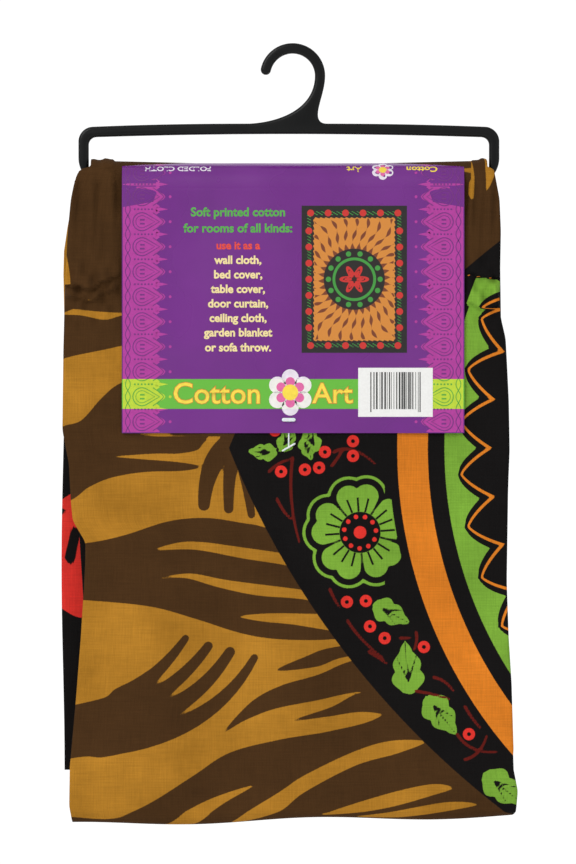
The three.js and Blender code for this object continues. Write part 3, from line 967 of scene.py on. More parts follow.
def print_colour(tree, colours, ground):
    """Nodes that lay the print's inks over the ground, each where its depth is above 0."""
    shown = add_node(tree, "ShaderNodeUVMap", uv_map="Print").outputs[0]
    spot = add_node(tree, "ShaderNodeVectorMath", {0: shown, "Scale": 1000.0}, operation="SCALE").outputs[0]
    depth = {
        name: add_node(tree, "ShaderNodeAttribute", attribute_name=f"{name}_depth").outputs["Fac"]
        for name in ("brown", "field", "band", "arch", "inner", "petal", "leaf", "twig", "rose", "line")
    }
    across = add_node(tree, "ShaderNodeSeparateXYZ", {"Vector": spot}).outputs["X"]
    berry = berry_gap(tree, spot)
    berries = add_node(tree, "ShaderNodeMath", {0: 3.1, 1: berry}, operation="SUBTRACT").outputs[0]
    pips = add_node(tree, "ShaderNodeMath", {0: 1.0, 1: berry}, operation="SUBTRACT").outputs[0]
    heart, seeds, veins = flower_heart(tree, spot, depth["petal"])
    arch_line = outline_at(tree, depth["arch"], 4.6, 0.9)
    contour = outline_at(tree, depth["petal"], -3.9, 0.75)
    left_part = add_node(tree, "ShaderNodeMath", {0: 47.0, 1: across}, operation="SUBTRACT").outputs[0]
    contour = add_node(tree, "ShaderNodeMath", {0: contour, 1: left_part}, operation="MINIMUM").outputs[0]
    inks = (
        ("brown", [depth["brown"]]),
        ("black", [depth["field"]]),
        ("orange", [depth["band"], arch_line]),
        ("green", [depth["inner"], depth["petal"], contour, depth["leaf"]]),
        ("black", [heart]),
        ("maroon", [depth["twig"]]),
        ("red", [berries, seeds, depth["rose"]]),
        ("black", [pips, veins, depth["line"]]),
    )
    # The screen's edge wanders by a thread's width.
    bleed = add_node(tree, "ShaderNodeTexNoise", {"Vector": shown, "Scale": 1300.0, "Detail": 1.0})
    wander = add_node(
        tree, "ShaderNodeMapRange", {"Value": bleed.outputs["Fac"], "To Min": -0.15, "To Max": 0.15}
    ).outputs[0]
    colour = ground
    for number, (key, shapes) in enumerate(inks):
        together = shapes[0]
        for shape in shapes[1:]:
            together = add_node(
                tree, "ShaderNodeMath", {0: together, 1: shape}, operation="MAXIMUM"
            ).outputs[0]
        if number > 1:
            together = add_node(
                tree, "ShaderNodeMath", {0: together, 1: depth["field"]}, operation="MINIMUM"
            ).outputs[0]
        uneven = add_node(tree, "ShaderNodeMath", {0: together, 1: wander}, operation="ADD").outputs[0]
        drawn = add_node(
            tree,
            "ShaderNodeMapRange",
            {"Value": uneven, "From Min": -0.2, "From Max": 0.2},
            interpolation_type="SMOOTHSTEP",
        ).outputs[0]
        colour = add_node(
            tree, "ShaderNodeMix", {0: drawn, 6: colour, 7: linear(getattr(colours, key))}, data_type="RGBA"
        ).outputs[2]
    return colour


def printed_cotton(colours, weave):
    """Plain-woven cotton, screen printed and folded: matt, with slubs and a fine canvas of threads."""
    material, tree = new_material("Printed plain-weave cotton")
    flat = add_node(tree, "ShaderNodeUVMap", uv_map="UVMap").outputs[0]
    # Slubs: thick places in single threads, about 0.7 mm across the thread and 14 mm along it, both ways.
    warp_place = add_node(tree, "ShaderNodeMapping", {"Vector": flat, "Scale": (1500, 70, 1)})
    weft_place = add_node(tree, "ShaderNodeMapping", {"Vector": flat, "Scale": (70, 1500, 1)})
    warp = add_node(
        tree, "ShaderNodeTexNoise", {"Vector": warp_place.outputs[0], "Scale": 1.0, "Detail": 2.0}
    )
    weft = add_node(
        tree, "ShaderNodeTexNoise", {"Vector": weft_place.outputs[0], "Scale": 1.0, "Detail": 2.0}
    )
    slubs = add_node(
        tree, "ShaderNodeMath", {0: warp.outputs["Fac"], 1: weft.outputs["Fac"]}, operation="ADD"
    )
    # Real threads lie 0.35 mm apart; they are drawn coarser, at the weave size, so that they show.
    waves = {
        direction: add_node(
            tree,
            "ShaderNodeTexWave",
            {"Vector": flat, "Scale": 0.314 / weave, "Distortion": 0.6, "Detail": 1.0, "Detail Scale": 2.0},
            bands_direction=direction,
        ).outputs["Fac"]
        for direction in ("X", "Y")
    }
    canvas = add_node(tree, "ShaderNodeMath", {0: waves["X"], 1: waves["Y"]}, operation="MULTIPLY")
    # The dye takes unevenly over 10 to 60 mm.
    cloud = add_node(
        tree, "ShaderNodeTexNoise", {"Vector": flat, "Scale": 26.0, "Detail": 4.0, "Roughness": 0.6}
    )
    ground = add_node(
        tree,
        "ShaderNodeMix",
        {0: cloud.outputs["Fac"], 6: linear("#AF7823"), 7: linear(colours.ochre)},
        data_type="RGBA",
    ).outputs[2]
    colour = print_colour(tree, colours, ground)
    shade = add_node(
        tree,
        "ShaderNodeMapRange",
        {"Value": slubs.outputs[0], "From Min": 0.6, "From Max": 1.4, "To Min": 0.86, "To Max": 1.14},
    )
    threads = add_node(
        tree, "ShaderNodeMapRange", {"Value": canvas.outputs[0], "To Min": 0.95, "To Max": 1.08}
    )
    tone = add_node(
        tree, "ShaderNodeMath", {0: shade.outputs[0], 1: threads.outputs[0]}, operation="MULTIPLY"
    )
    patchy = add_node(
        tree,
        "ShaderNodeMapRange",
        {"Value": cloud.outputs["Fac"], "From Min": 0.3, "From Max": 0.7, "To Min": 0.76, "To Max": 1.0},
    )
    tone = add_node(tree, "ShaderNodeMath", {0: tone.outputs[0], 1: patchy.outputs[0]}, operation="MULTIPLY")
    dyed = add_node(tree, "ShaderNodeVectorMath", {0: colour, "Scale": tone.outputs[0]}, operation="SCALE")
    height = add_node(tree, "ShaderNodeMath", {0: slubs.outputs[0], 1: canvas.outputs[0]}, operation="ADD")
    bump = add_node(
        tree, "ShaderNodeBump", {"Height": height.outputs[0], "Strength": 0.3, "Distance": 0.0002}
    )
    shader = add_node(
        tree,
        "ShaderNodeBsdfPrincipled",
        {
            "Base Color": dyed.outputs[0],
            "Roughness": 0.9,
            "IOR": 1.45,
            "Specular IOR Level": 0.08,
            "Sheen Weight": 0.02,
            "Sheen Roughness": 0.45,
            "Normal": bump.outputs[0],
        },
    )
    finish_surface(tree, shader)
    return material


def sewing_thread():
    """Spun cotton sewing thread, twisted: dull, with the twist across each stitch."""
    material, tree = new_material("Spun cotton sewing thread")
    place = add_node(tree, "ShaderNodeTexCoord").outputs["Object"]
    # The twist repeats every 0.4 mm; it is drawn at 0.8 mm so that it shows.
    twist = add_node(tree, "ShaderNodeTexWave", {"Vector": place, "Scale": 390.0}, bands_direction="DIAGONAL")
    tone = add_node(
        tree,
        "ShaderNodeMix",
        {0: twist.outputs["Fac"], 6: linear("#100E0D"), 7: linear("#2B2624")},
        data_type="RGBA",
    )
    shader = add_node(
        tree,
        "ShaderNodeBsdfPrincipled",
        {"Base Color": tone.outputs[2], "Roughness": 0.85, "Specular IOR Level": 0.3},
    )
    finish_surface(tree, shader)
    return material


class BuildCloth(bpy.types.Operator):
    """Build the tapestry, one printed sheet in ten pleats, folded at the lower front and hung over the bar"""

    bl_idname = "tapestry.cloth"
    bl_label = "Cloth"

    def execute(self, context):
        sizes = context.scene.cloth_sizes
        shape = ClothShape(sizes)
        points, down, flat, print_z = shape.build()
        rows, columns = points.shape[:2]
        material = printed_cotton(context.scene.tapestry_colours, sizes.weave)
        faces = grid_faces(rows, columns)[:, ::-1]
        cloth = new_object("tapestry", points.reshape(-1, 3), faces, [material])
        x = np.clip(points[..., 0], -150, 150).ravel()
        for name, depth in print_depths(x, print_z.ravel()).items():
            store(cloth.data, name, np.clip(depth, -FAR, FAR))
        store_map(cloth.data, np.broadcast_to(flat, (rows, columns)), down)
        store_map(cloth.data, points[..., 0], print_z, "Print")
        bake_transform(cloth)
        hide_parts("cloth_front_leaf", "cloth_back_leaf")
        return {"FINISHED"}


def stitch_tree():
    """Geometry nodes that lay short round stitches, end to end, along a straight line."""
    tree = bpy.data.node_groups.new("Run of stitches", "GeometryNodeTree")
    face = tree.interface
    face.new_socket(name="Geometry", in_out="INPUT", socket_type="NodeSocketGeometry")
    face.new_socket(name="Start", in_out="INPUT", socket_type="NodeSocketVector")
    face.new_socket(name="Run", in_out="INPUT", socket_type="NodeSocketFloat")
    face.new_socket(name="Pitch", in_out="INPUT", socket_type="NodeSocketFloat")
    face.new_socket(name="Thread radius", in_out="INPUT", socket_type="NodeSocketFloat")
    face.new_socket(name="Thread", in_out="INPUT", socket_type="NodeSocketMaterial")
    face.new_socket(name="Geometry", in_out="OUTPUT", socket_type="NodeSocketGeometry")
    given = add_node(tree, "NodeGroupInput").outputs
    count = add_node(tree, "ShaderNodeMath", {0: given["Run"], 1: given["Pitch"]}, operation="DIVIDE")
    step = add_node(tree, "ShaderNodeCombineXYZ", {"X": given["Pitch"]})
    line = add_node(
        tree,
        "GeometryNodeMeshLine",
        {"Count": count.outputs[0], "Start Location": given["Start"], "Offset": step.outputs[0]},
    )
    length = add_node(tree, "ShaderNodeMath", {0: given["Pitch"], 1: 0.36}, operation="MULTIPLY")
    ball = add_node(tree, "GeometryNodeMeshIcoSphere", {"Radius": 1.0, "Subdivisions": 2})
    size = add_node(
        tree,
        "ShaderNodeCombineXYZ",
        {"X": length.outputs[0], "Y": given["Thread radius"], "Z": given["Thread radius"]},
    )
    lean = add_node(
        tree,
        "FunctionNodeRandomValue",
        {"Min": (0, -0.09, -0.05), "Max": (0, 0.09, 0.05), "Seed": 4},
        data_type="FLOAT_VECTOR",
    )
    laid = add_node(
        tree,
        "GeometryNodeInstanceOnPoints",
        {
            "Points": line.outputs[0],
            "Instance": ball.outputs[0],
            "Rotation": lean.outputs[0],
            "Scale": size.outputs[0],
        },
    )
    real = add_node(tree, "GeometryNodeRealizeInstances", {"Geometry": laid.outputs[0]})
    painted = add_node(
        tree, "GeometryNodeSetMaterial", {"Geometry": real.outputs[0], "Material": given["Thread"]}
    )
    add_node(tree, "NodeGroupOutput", {"Geometry": painted.outputs[0]})
    return tree


def run_nodes(tree, name, inputs):
    """Runs a tree of geometry nodes on an empty object and gives its result as a plain mesh object."""
    thing = bpy.data.objects.new(name, bpy.data.meshes.new(name + " start"))
    bpy.context.scene.collection.objects.link(thing)
    modifier = thing.modifiers.new("Nodes", "NODES")
    modifier.node_group = tree
    sockets = {item.name: item.identifier for item in tree.interface.items_tree if item.in_out == "INPUT"}
    for key, value in inputs.items():
        modifier[sockets[key]] = value
    bpy.context.view_layer.update()
    thing.data = evaluated_copy(thing, name)
    return thing


class BuildStitches(bpy.types.Operator):
    """Sew the two hems, which show on the back, each with one row of stitches"""

    bl_idname = "tapestry.stitches"
    bl_label = "Hem stitches"

    def execute(self, context):
        sizes = context.scene.cloth_sizes
        shape = ClothShape(sizes)
        tree = stitch_tree()
        thread = sewing_thread()
        hems = (
            ("short_hem_stitches", shape.short_hem, "back_out", 0.5 * shape.layer),
            ("long_hem_stitches", shape.long_hem, "back_in", 9.5 * shape.layer),
        )
        for name, hem, part, depth in hems:
            height = hem + sizes.hem_width / MM
            stitches = run_nodes(
                tree,
                name,
                {
                    "Start": (-0.1125, 0.0, height * MM),
                    "Run": 0.211,
                    "Pitch": sizes.stitch_pitch,
                    "Thread radius": 0.0004,
                    "Thread": thread,
                },
            )
            for vertex in stitches.data.vertices:
                x, z = np.array([vertex.co.x / MM]), np.array([vertex.co.z / MM])
                deep = np.array([depth])
                y, _ = shape.cross_section(part, float(z[0]), deep, x)
                proud = shape.relief(part, x, z, deep)
                vertex.co.y += (float(y[0]) + float(proud[0]) + 0.1) * MM
            stitches.data.shade_smooth()
            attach(stitches, "back_half")
        return {"FINISHED"}


# ---- Card ----


class CardShape:
    """The bent card: a path down its middle, from the top of the fold to the front panel's lower edge."""

    def __init__(self, sizes):
        self.thickness = sizes.thickness / MM
        self.spine = CARD_HIGH[2] - BAR_AXIS
        self.panel = -CARD_LOW[1]
        self.crease = BAR_AXIS - sizes.crease_drop / MM
        self.bottom = CARD_LOW[2]
        self.left, self.right = CARD_LOW[0], CARD_HIGH[0]
        top = CARD_HIGH[2]
        over = bezier([(0, top), (-6.5, top), (-self.panel, top - 4.2), (-self.panel, self.crease - 1.6)], 40)
        low = np.linspace(self.crease - 1.6, self.bottom, 300)[1:]
        self.path = np.concatenate([over, np.stack([np.full(299, -self.panel), low], -1)])
        # The crease that folding left, a fine groove a little below the bend.
        self.path[:, 0] += 0.1 * np.exp(-(((self.path[:, 1] - self.crease - 0.9) / 0.45) ** 2))
        steps = np.hypot(*np.diff(self.path, axis=0).T)
        self.travel = np.concatenate([[0], np.cumsum(steps)])

    def from_height(self, z):
        """How far down the card a height on its flat front is."""
        return self.travel[40] + (self.path[40, 1] - z)

    def bow(self, x, s):
        """The front panel's slight bow between its sides."""
        across = np.clip((x - self.left) / (self.right - self.left), 0, 1)
        return -0.25 * np.sin(math.pi * across) * ease(s, 24, 70)

    def place(self, x, s, lift=0.0):
        """The point on the card's printed face, x across and s down from the fold's top, as (x, y, z)."""
        y = np.interp(s, self.travel, self.path[:, 0])
        z = np.interp(s, self.travel, self.path[:, 1])
        ahead_y = np.interp(s + 0.4, self.travel, self.path[:, 0])
        ahead_z = np.interp(s + 0.4, self.travel, self.path[:, 1])
        behind_y = np.interp(s - 0.4, self.travel, self.path[:, 0])
        behind_z = np.interp(s - 0.4, self.travel, self.path[:, 1])
        slope_y, slope_z = ahead_y - behind_y, ahead_z - behind_z
        size = np.maximum(np.hypot(slope_y, slope_z), 1e-6)
        lift = lift + self.bow(x, s)
        y = y + lift * slope_z / size
        z = z - lift * slope_y / size
        return np.stack([x, y, z], -1)


def coated_card():
    """Solid bleached board, offset printed and varnished: deep colour under a thin, buckled gloss."""
    material, tree = new_material("Varnished printed card")
    place = add_node(tree, "ShaderNodeTexCoord").outputs["Object"]
    height = add_node(tree, "ShaderNodeSeparateXYZ", {"Vector": place}).outputs["Z"]
    # The purple is a solid of two inks that vary a little from place to place.
    cloud = add_node(tree, "ShaderNodeTexNoise", {"Vector": place, "Scale": 28.0, "Detail": 5.0})
    ground = add_node(
        tree,
        "ShaderNodeMix",
        {0: cloud.outputs["Fac"], 6: linear("#64187A"), 7: linear("#7B2492")},
        data_type="RGBA",
    )
    above = add_node(
        tree, "ShaderNodeMath", {0: height, 1: BAND_LOW * MM}, operation="GREATER_THAN"
    )
    below = add_node(
        tree, "ShaderNodeMath", {0: height, 1: BAND_HIGH * MM}, operation="LESS_THAN"
    )
    band = add_node(tree, "ShaderNodeMath", {0: above.outputs[0], 1: below.outputs[0]}, operation="MULTIPLY")
    colour = add_node(
        tree,
        "ShaderNodeMix",
        {0: band.outputs[0], 6: ground.outputs[2], 7: linear("#68BE3A")},
        data_type="RGBA",
    )
    # Rubbed places in the varnish, 20 to 60 mm across, and fine scuffs.
    rub = add_node(tree, "ShaderNodeTexNoise", {"Vector": place, "Scale": 17.0, "Detail": 3.0})
    rough = add_node(
        tree,
        "ShaderNodeMapRange",
        {"Value": rub.outputs["Fac"], "From Min": 0.35, "From Max": 0.65, "To Min": 0.2, "To Max": 0.42},
    )
    buckle = add_node(tree, "ShaderNodeTexNoise", {"Vector": place, "Scale": 11.0, "Detail": 1.0})
    bump = add_node(
        tree, "ShaderNodeBump", {"Height": buckle.outputs["Fac"], "Strength": 0.6, "Distance": 0.004}
    )
    shader = add_node(
        tree,
        "ShaderNodeBsdfPrincipled",
        {
            "Base Color": colour.outputs[2],
            "Roughness": rough.outputs[0],
            "IOR": 1.5,
            "Coat Weight": 0.35,
            "Coat Roughness": 0.12,
            "Normal": bump.outputs[0],
        },
    )
    finish_surface(tree, shader)
    return material


def board_edge():
    """The board's cut edge and bare inside: white fibres, matt."""
    material, tree = new_material("Cut bleached board")
    place = add_node(tree, "ShaderNodeTexCoord").outputs["Object"]
    fibre = add_node(tree, "ShaderNodeTexNoise", {"Vector": place, "Scale": 1500.0, "Detail": 2.0})
    tone = add_node(
        tree,
        "ShaderNodeMix",
        {0: fibre.outputs["Fac"], 6: linear("#D9D4D8"), 7: linear("#F4F1F2")},
        data_type="RGBA",
    )
    shader = add_node(
        tree, "ShaderNodeBsdfPrincipled", {"Base Color": tone.outputs[2], "Roughness": 0.8}
    )
    finish_surface(tree, shader)
    return material


BAND_HIGH = -166.8  # mm, top of the lime band across the card
BAND_LOW = -182.0


class BuildCard(bpy.types.Operator):
    """Build the header card, one piece bent over the fold with a panel in front and one behind"""

    bl_idname = "tapestry.card"
    bl_label = "Card"

    def execute(self, context):
        shape = CardShape(context.scene.card_sizes)
        across = np.linspace(shape.left, shape.right, 60)
        end = shape.from_height(shape.bottom)
        down = np.array([*np.linspace(0, 24, 70), *np.linspace(24.6, end, 70)])
        front = shape.place(across[None, :] + 0 * down[:, None], down[:, None] + 0 * across[None, :])
        back = front[:0:-1].copy()
        back[..., 1] *= -1
        outside = np.concatenate([back, front])
        rows, columns = outside.shape[:2]
        slope = np.gradient(outside[..., 1:], axis=0)
        size = np.linalg.norm(slope, axis=-1, keepdims=True)
        inward = np.stack([-slope[..., 1], slope[..., 0]], -1) / size
        inside = outside.copy()
        inside[..., 1:] += inward * shape.thickness
        count = rows * columns
        points = np.concatenate([outside.reshape(-1, 3), inside.reshape(-1, 3)])
        outer_faces = grid_faces(rows, columns)
        inner_faces = grid_faces(rows, columns, count)[:, ::-1]
        rim = [r * columns for r in range(rows)]
        rim += [(rows - 1) * columns + c for c in range(1, columns)]
        rim += [r * columns + columns - 1 for r in range(rows - 2, -1, -1)]
        rim += list(range(columns - 2, 0, -1))
        edge_faces = [(a, b, b + count, a + count) for a, b in zip(rim, rim[1:] + rim[:1])]
        faces = [*outer_faces, *inner_faces, *edge_faces]
        card = new_object("header_card", points, faces, [coated_card(), board_edge()])
        for face in card.data.polygons[len(outer_faces) :]:
            face.material_index = 1
        checked = bmesh.new()
        checked.from_mesh(card.data)
        bmesh.ops.recalc_face_normals(checked, faces=checked.faces)
        checked.to_mesh(card.data)
        checked.free()
        card.data.set_sharp_from_angle(angle=math.radians(50))
        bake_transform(card)
        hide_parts("card_front_panel", "card_back_panel")
        return {"FINISHED"}


# ---- What is printed on the card ----


class FlatDrawing:
    """Flat shapes gathered into one mesh, drawn in millimetres with x across and y up."""

    def __init__(self):
        self.points = []
        self.faces = []

    def area(self, outline):
        """A filled shape."""
        first = len(self.points)
        self.points += [(x, y) for x, y in outline]
        self.faces.append(tuple(range(first, first + len(outline))))

    def line(self, path, width, closed=False):
        """A line of constant width along a path."""
        path = np.asarray(path, float)
        ahead = np.roll(path, -1, 0) if closed else np.concatenate([path[1:], path[-1:]])
        behind = np.roll(path, 1, 0) if closed else np.concatenate([path[:1], path[:-1]])
        run = ahead - behind
        length = np.linalg.norm(run, axis=1, keepdims=True)
        across = np.stack([-run[:, 1], run[:, 0]], -1) / length * width / 2
        first = len(self.points)
        for point, offset in zip(path, across):
            self.points += [tuple(point + offset), tuple(point - offset)]
        count = len(path)
        for i in range(count if closed else count - 1):
            a, b = first + 2 * i, first + 2 * ((i + 1) % count)
            self.faces.append((a, a + 1, b + 1, b))

    def dot(self, x, y, radius, corners=10):
        """A small filled disc."""
        turns = np.linspace(0, 2 * math.pi, corners, endpoint=False)
        self.area([(x + radius * math.cos(a), y + radius * math.sin(a)) for a in turns])

    def object(self, name, material):
        """The drawing as an object, still flat."""
        return new_object(name, [(x, y, 0) for x, y in self.points], self.faces, [material], smooth=False)


def printed_ink(name, hex_colour, band_colour=None):
    """Offset ink under the card's varnish: the colour of the drawing, with the varnish's gloss.
    Over the lime band the ink can have a second colour, because the two are printed over each other."""
    material, tree = new_material(name)
    place = add_node(tree, "ShaderNodeTexCoord").outputs["Object"]
    # Ink lies a little unevenly on the board, over 1 to 3 mm.
    mottle = add_node(tree, "ShaderNodeTexNoise", {"Vector": place, "Scale": 420.0, "Detail": 2.0})
    height = add_node(tree, "ShaderNodeSeparateXYZ", {"Vector": place}).outputs["Z"]
    above = add_node(tree, "ShaderNodeMath", {0: height, 1: BAND_LOW * MM}, operation="GREATER_THAN")
    below = add_node(tree, "ShaderNodeMath", {0: height, 1: BAND_HIGH * MM}, operation="LESS_THAN")
    band = add_node(tree, "ShaderNodeMath", {0: above.outputs[0], 1: below.outputs[0]}, operation="MULTIPLY")
    colour = add_node(
        tree,
        "ShaderNodeMix",
        {0: band.outputs[0], 6: linear(hex_colour), 7: linear(band_colour or hex_colour)},
        data_type="RGBA",
    )
    shade = add_node(
        tree, "ShaderNodeMapRange", {"Value": mottle.outputs["Fac"], "To Min": 0.84, "To Max": 1.14}
    )
    uneven = add_node(
        tree, "ShaderNodeVectorMath", {0: colour.outputs[2], "Scale": shade.outputs[0]}, operation="SCALE"
    )
    shader = add_node(
        tree,
        "ShaderNodeBsdfPrincipled",
        {
            "Base Color": uneven.outputs[0], "Roughness": 0.34, "IOR": 1.5, "Coat Weight": 0.25,
            "Coat Roughness": 0.15,
        },
    )
    finish_surface(tree, shader)
    return material


def drop_outline(grow=0.0):
    """A drop that lies on its side in the card's border, round end towards the card's edge."""
    radius = 3.6 + grow
    tip = 17.6 + 1.6 * grow
    half = math.acos(radius / (tip - 10.2))
    round_end = arc(10.2, 0, radius, half, 2 * math.pi - half, 18)
    return [*round_end, (tip, 0)]


def border_motifs():
    """One repeat of the border, from the card's edge inwards: its ground, and the lines over it."""
    ground = FlatDrawing()
    inner = [
        (17.2, 6.375), (19.4, 4.9), (17.4, 3.4), (21.4, 1.2), (22.2, 0), (21.4, -1.2), (17.4, -3.4),
        (19.4, -4.9),
    ]
    ground.area([(0.5, -6.375), *reversed([*inner, (17.2, -6.375)]), (0.5, 6.375)])
    ground.area([(17.2, 6.375), (23.6, 6.375), (17.4, 5.1)])
    ground.area([(17.4, -5.1), (23.6, -6.375), (17.2, -6.375)])
    ground.dot(24.6, 0, 0.75)
    lines = FlatDrawing()
    turns = np.linspace(-6.375, 6.375, 15)
    for side in (-1, 1):
        lines.line([(3.0 + side * 1.25 * math.cos(v * math.pi / 6.375), v) for v in turns], 0.42)
    lines.line(drop_outline(1.0), 0.5, closed=True)
    lines.line(drop_outline(-0.5), 0.34, closed=True)
    lines.line([(9.2, 1.0), (11.6, 1.0)], 0.8)
    lines.line([(9.2, -1.0), (11.6, -1.0)], 0.8)
    for step in range(6):
        lines.dot(6.6 + 1.75 * step, 6.375, 0.5, 8)
    lines.line(
        [(15.8, 4.6), (18.2, 3.0), (20.6, 1.0), (21.3, 0), (20.6, -1.0), (18.2, -3.0), (15.8, -4.6)], 0.45
    )
    return ground, lines


def repeat_tree():
    """Geometry nodes that repeat a flat motif down a straight line."""
    tree = bpy.data.node_groups.new("Repeat down a line", "GeometryNodeTree")
    face = tree.interface
    face.new_socket(name="Geometry", in_out="INPUT", socket_type="NodeSocketGeometry")
    face.new_socket(name="Motif", in_out="INPUT", socket_type="NodeSocketObject")
    face.new_socket(name="Count", in_out="INPUT", socket_type="NodeSocketInt")
    face.new_socket(name="Pitch", in_out="INPUT", socket_type="NodeSocketFloat")
    face.new_socket(name="Ink", in_out="INPUT", socket_type="NodeSocketMaterial")
    face.new_socket(name="Geometry", in_out="OUTPUT", socket_type="NodeSocketGeometry")
    given = add_node(tree, "NodeGroupInput").outputs
    down = add_node(tree, "ShaderNodeMath", {0: given["Pitch"], 1: -1.0}, operation="MULTIPLY")
    step = add_node(tree, "ShaderNodeCombineXYZ", {"Y": down.outputs[0]})
    line = add_node(tree, "GeometryNodeMeshLine", {"Count": given["Count"], "Offset": step.outputs[0]})
    motif = add_node(tree, "GeometryNodeObjectInfo", {"Object": given["Motif"], "As Instance": True})
    laid = add_node(
        tree, "GeometryNodeInstanceOnPoints", {
            "Points": line.outputs[0], "Instance": motif.outputs["Geometry"]
        }
    )
    real = add_node(tree, "GeometryNodeRealizeInstances", {"Geometry": laid.outputs[0]})
    painted = add_node(
        tree, "GeometryNodeSetMaterial", {"Geometry": real.outputs[0], "Material": given["Ink"]}
    )
    add_node(tree, "NodeGroupOutput", {"Geometry": painted.outputs[0]})
    return tree


def lay_on_card(thing, shape, start_x, start_s, side=1, upright=1, lift=0.06):
    """Bends a flat drawing on to the card; side is -1 if it reads from the right edge inwards."""
    flat = np.array([vertex.co for vertex in thing.data.vertices]) / MM
    across = start_x + side * upright * flat[:, 0]
    down = start_s - upright * flat[:, 1]
    keep = np.clip(down, 0.2, None)
    placed = shape.place(across, keep, lift) * MM
    thing.data.vertices.foreach_set("co", placed.ravel())
    if side < 0:
        thing.data.flip_normals()
    thing.data.update()
    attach(thing, "front_half")


def lettering(words, size, material, name, weight=0.0):
    """A line of plain lettering as a flat mesh, centred."""
    curve = bpy.data.curves.new(name, "FONT")
    curve.body = words
    curve.size = size * MM
    curve.align_x = "CENTER"
    curve.align_y = "CENTER"
    curve.offset = weight * MM
    curve.resolution_u = 3
    drawn = bpy.data.objects.new(name, curve)
    bpy.context.scene.collection.objects.link(drawn)
    bpy.context.view_layer.update()
    mesh = bpy.data.meshes.new_from_object(drawn.evaluated_get(bpy.context.evaluated_depsgraph_get()))
    bpy.data.objects.remove(drawn)
    mesh.materials.clear()
    mesh.materials.append(material)
    thing = bpy.data.objects.new(name, mesh)
    bpy.context.scene.collection.objects.link(thing)
    return thing


def flower_mark(petal_count, reach, petal, name, material):
    """A plain round-petalled flower, drawn flat."""
    drawing = FlatDrawing()
    for k in range(petal_count):
        angle = 2 * math.pi * k / petal_count + math.pi / 2
        drawing.dot(reach * math.cos(angle), reach * math.sin(angle), petal, 18)
    return drawing.object(name, material)


def small_picture_depths(x, z, left, right, low, high):
    """The picture on the card, a flowered rug pattern, as a depth for each of its inks."""
    cx, cz = (left + right) / 2, (low + high) / 2
    inset = np.minimum.reduce([x - left, right - x, z - low, high - z])
    ground = inset - 6.2 + 0.35 * np.sin((x + z) * 2.4)
    turn = np.arctan2(z - cz, x - cx)
    reach = np.hypot(x - cx, z - cz)
    spokes = np.abs(np.sin(turn * 16 + 0.9 * np.sin(reach * 0.28))) * reach * 0.055
    rays = 0.42 - spokes + 0.35 * np.sin(reach * 0.9)
    branches = np.minimum(np.minimum(rays, ground - 0.4), reach - 14)
    roses = []
    for k in range(6):
        place = left + 4.6 + (right - left - 9.2) * k / 5
        roses += [disc(x, z, place, low + 3.7, 1.75), disc(x, z, place, high - 3.7, 1.75)]
    for k in range(1, 8):
        place = low + 4.6 + (high - low - 9.2) * k / 8
        roses += [disc(x, z, left + 3.7, place, 1.75), disc(x, z, right - 3.7, place, 1.75)]
    sprigs = np.minimum(1.1 - np.abs(inset - 3.9), 0.5 - np.abs(((x + 1.7 * z) % 2.6) - 1.3))
    flowers = []
    for angle in np.linspace(0, 2 * math.pi, 15)[:-1]:
        flowers.append(disc(x, z, cx + 13.2 * math.cos(angle), cz + 13.2 * math.sin(angle), 1.35))
    bloom = 7.6 * (0.72 + 0.28 * np.cos(6 * turn)) - reach
    return {
        "orange_ink": ground,
        "brown_ink": branches,
        "black_ink": 15.6 - reach,
        "green_ink": joined(sprigs, 0.7 - np.abs(reach - 10.4), *flowers),
        "red_ink": joined(*roses, bloom),
        "line_ink": joined(0.35 - np.abs(bloom - 2.2), 1.3 - reach),
    }


def picture_print():
    """The same inks as the cloth's, at the small scale of a picture printed on board, under varnish."""
    material, tree = new_material("Varnished picture print")
    place = add_node(tree, "ShaderNodeTexCoord").outputs["Object"]
    cloud = add_node(tree, "ShaderNodeTexNoise", {"Vector": place, "Scale": 600.0, "Detail": 2.0})
    colour = add_node(
        tree,
        "ShaderNodeMix",
        {0: cloud.outputs["Fac"], 6: linear("#12100F"), 7: linear("#201C1A")},
        data_type="RGBA",
    ).outputs[2]
    inks = (
        ("orange_ink", "#D98A34"),
        ("brown_ink", "#7A3A1A"),
        ("black_ink", "#1C1512"),
        ("green_ink", "#3F9A3C"),
        ("red_ink", "#CF2B26"),
        ("line_ink", "#2A0F0C"),
    )
    for name, tint in inks:
        depth = add_node(tree, "ShaderNodeAttribute", attribute_name=name).outputs["Fac"]
        drawn = add_node(
            tree,
            "ShaderNodeMapRange",
            {"Value": depth, "From Min": -0.1, "From Max": 0.1},
            interpolation_type="SMOOTHSTEP",
        )
        colour = add_node(
            tree, "ShaderNodeMix", {0: drawn.outputs[0], 6: colour, 7: linear(tint)}, data_type="RGBA"
        ).outputs[2]
    shader = add_node(
        tree,
        "ShaderNodeBsdfPrincipled",
        {"Base Color": colour, "Roughness": 0.34, "IOR": 1.5, "Coat Weight": 0.3, "Coat Roughness": 0.15},
    )
    finish_surface(tree, shader)
    return material


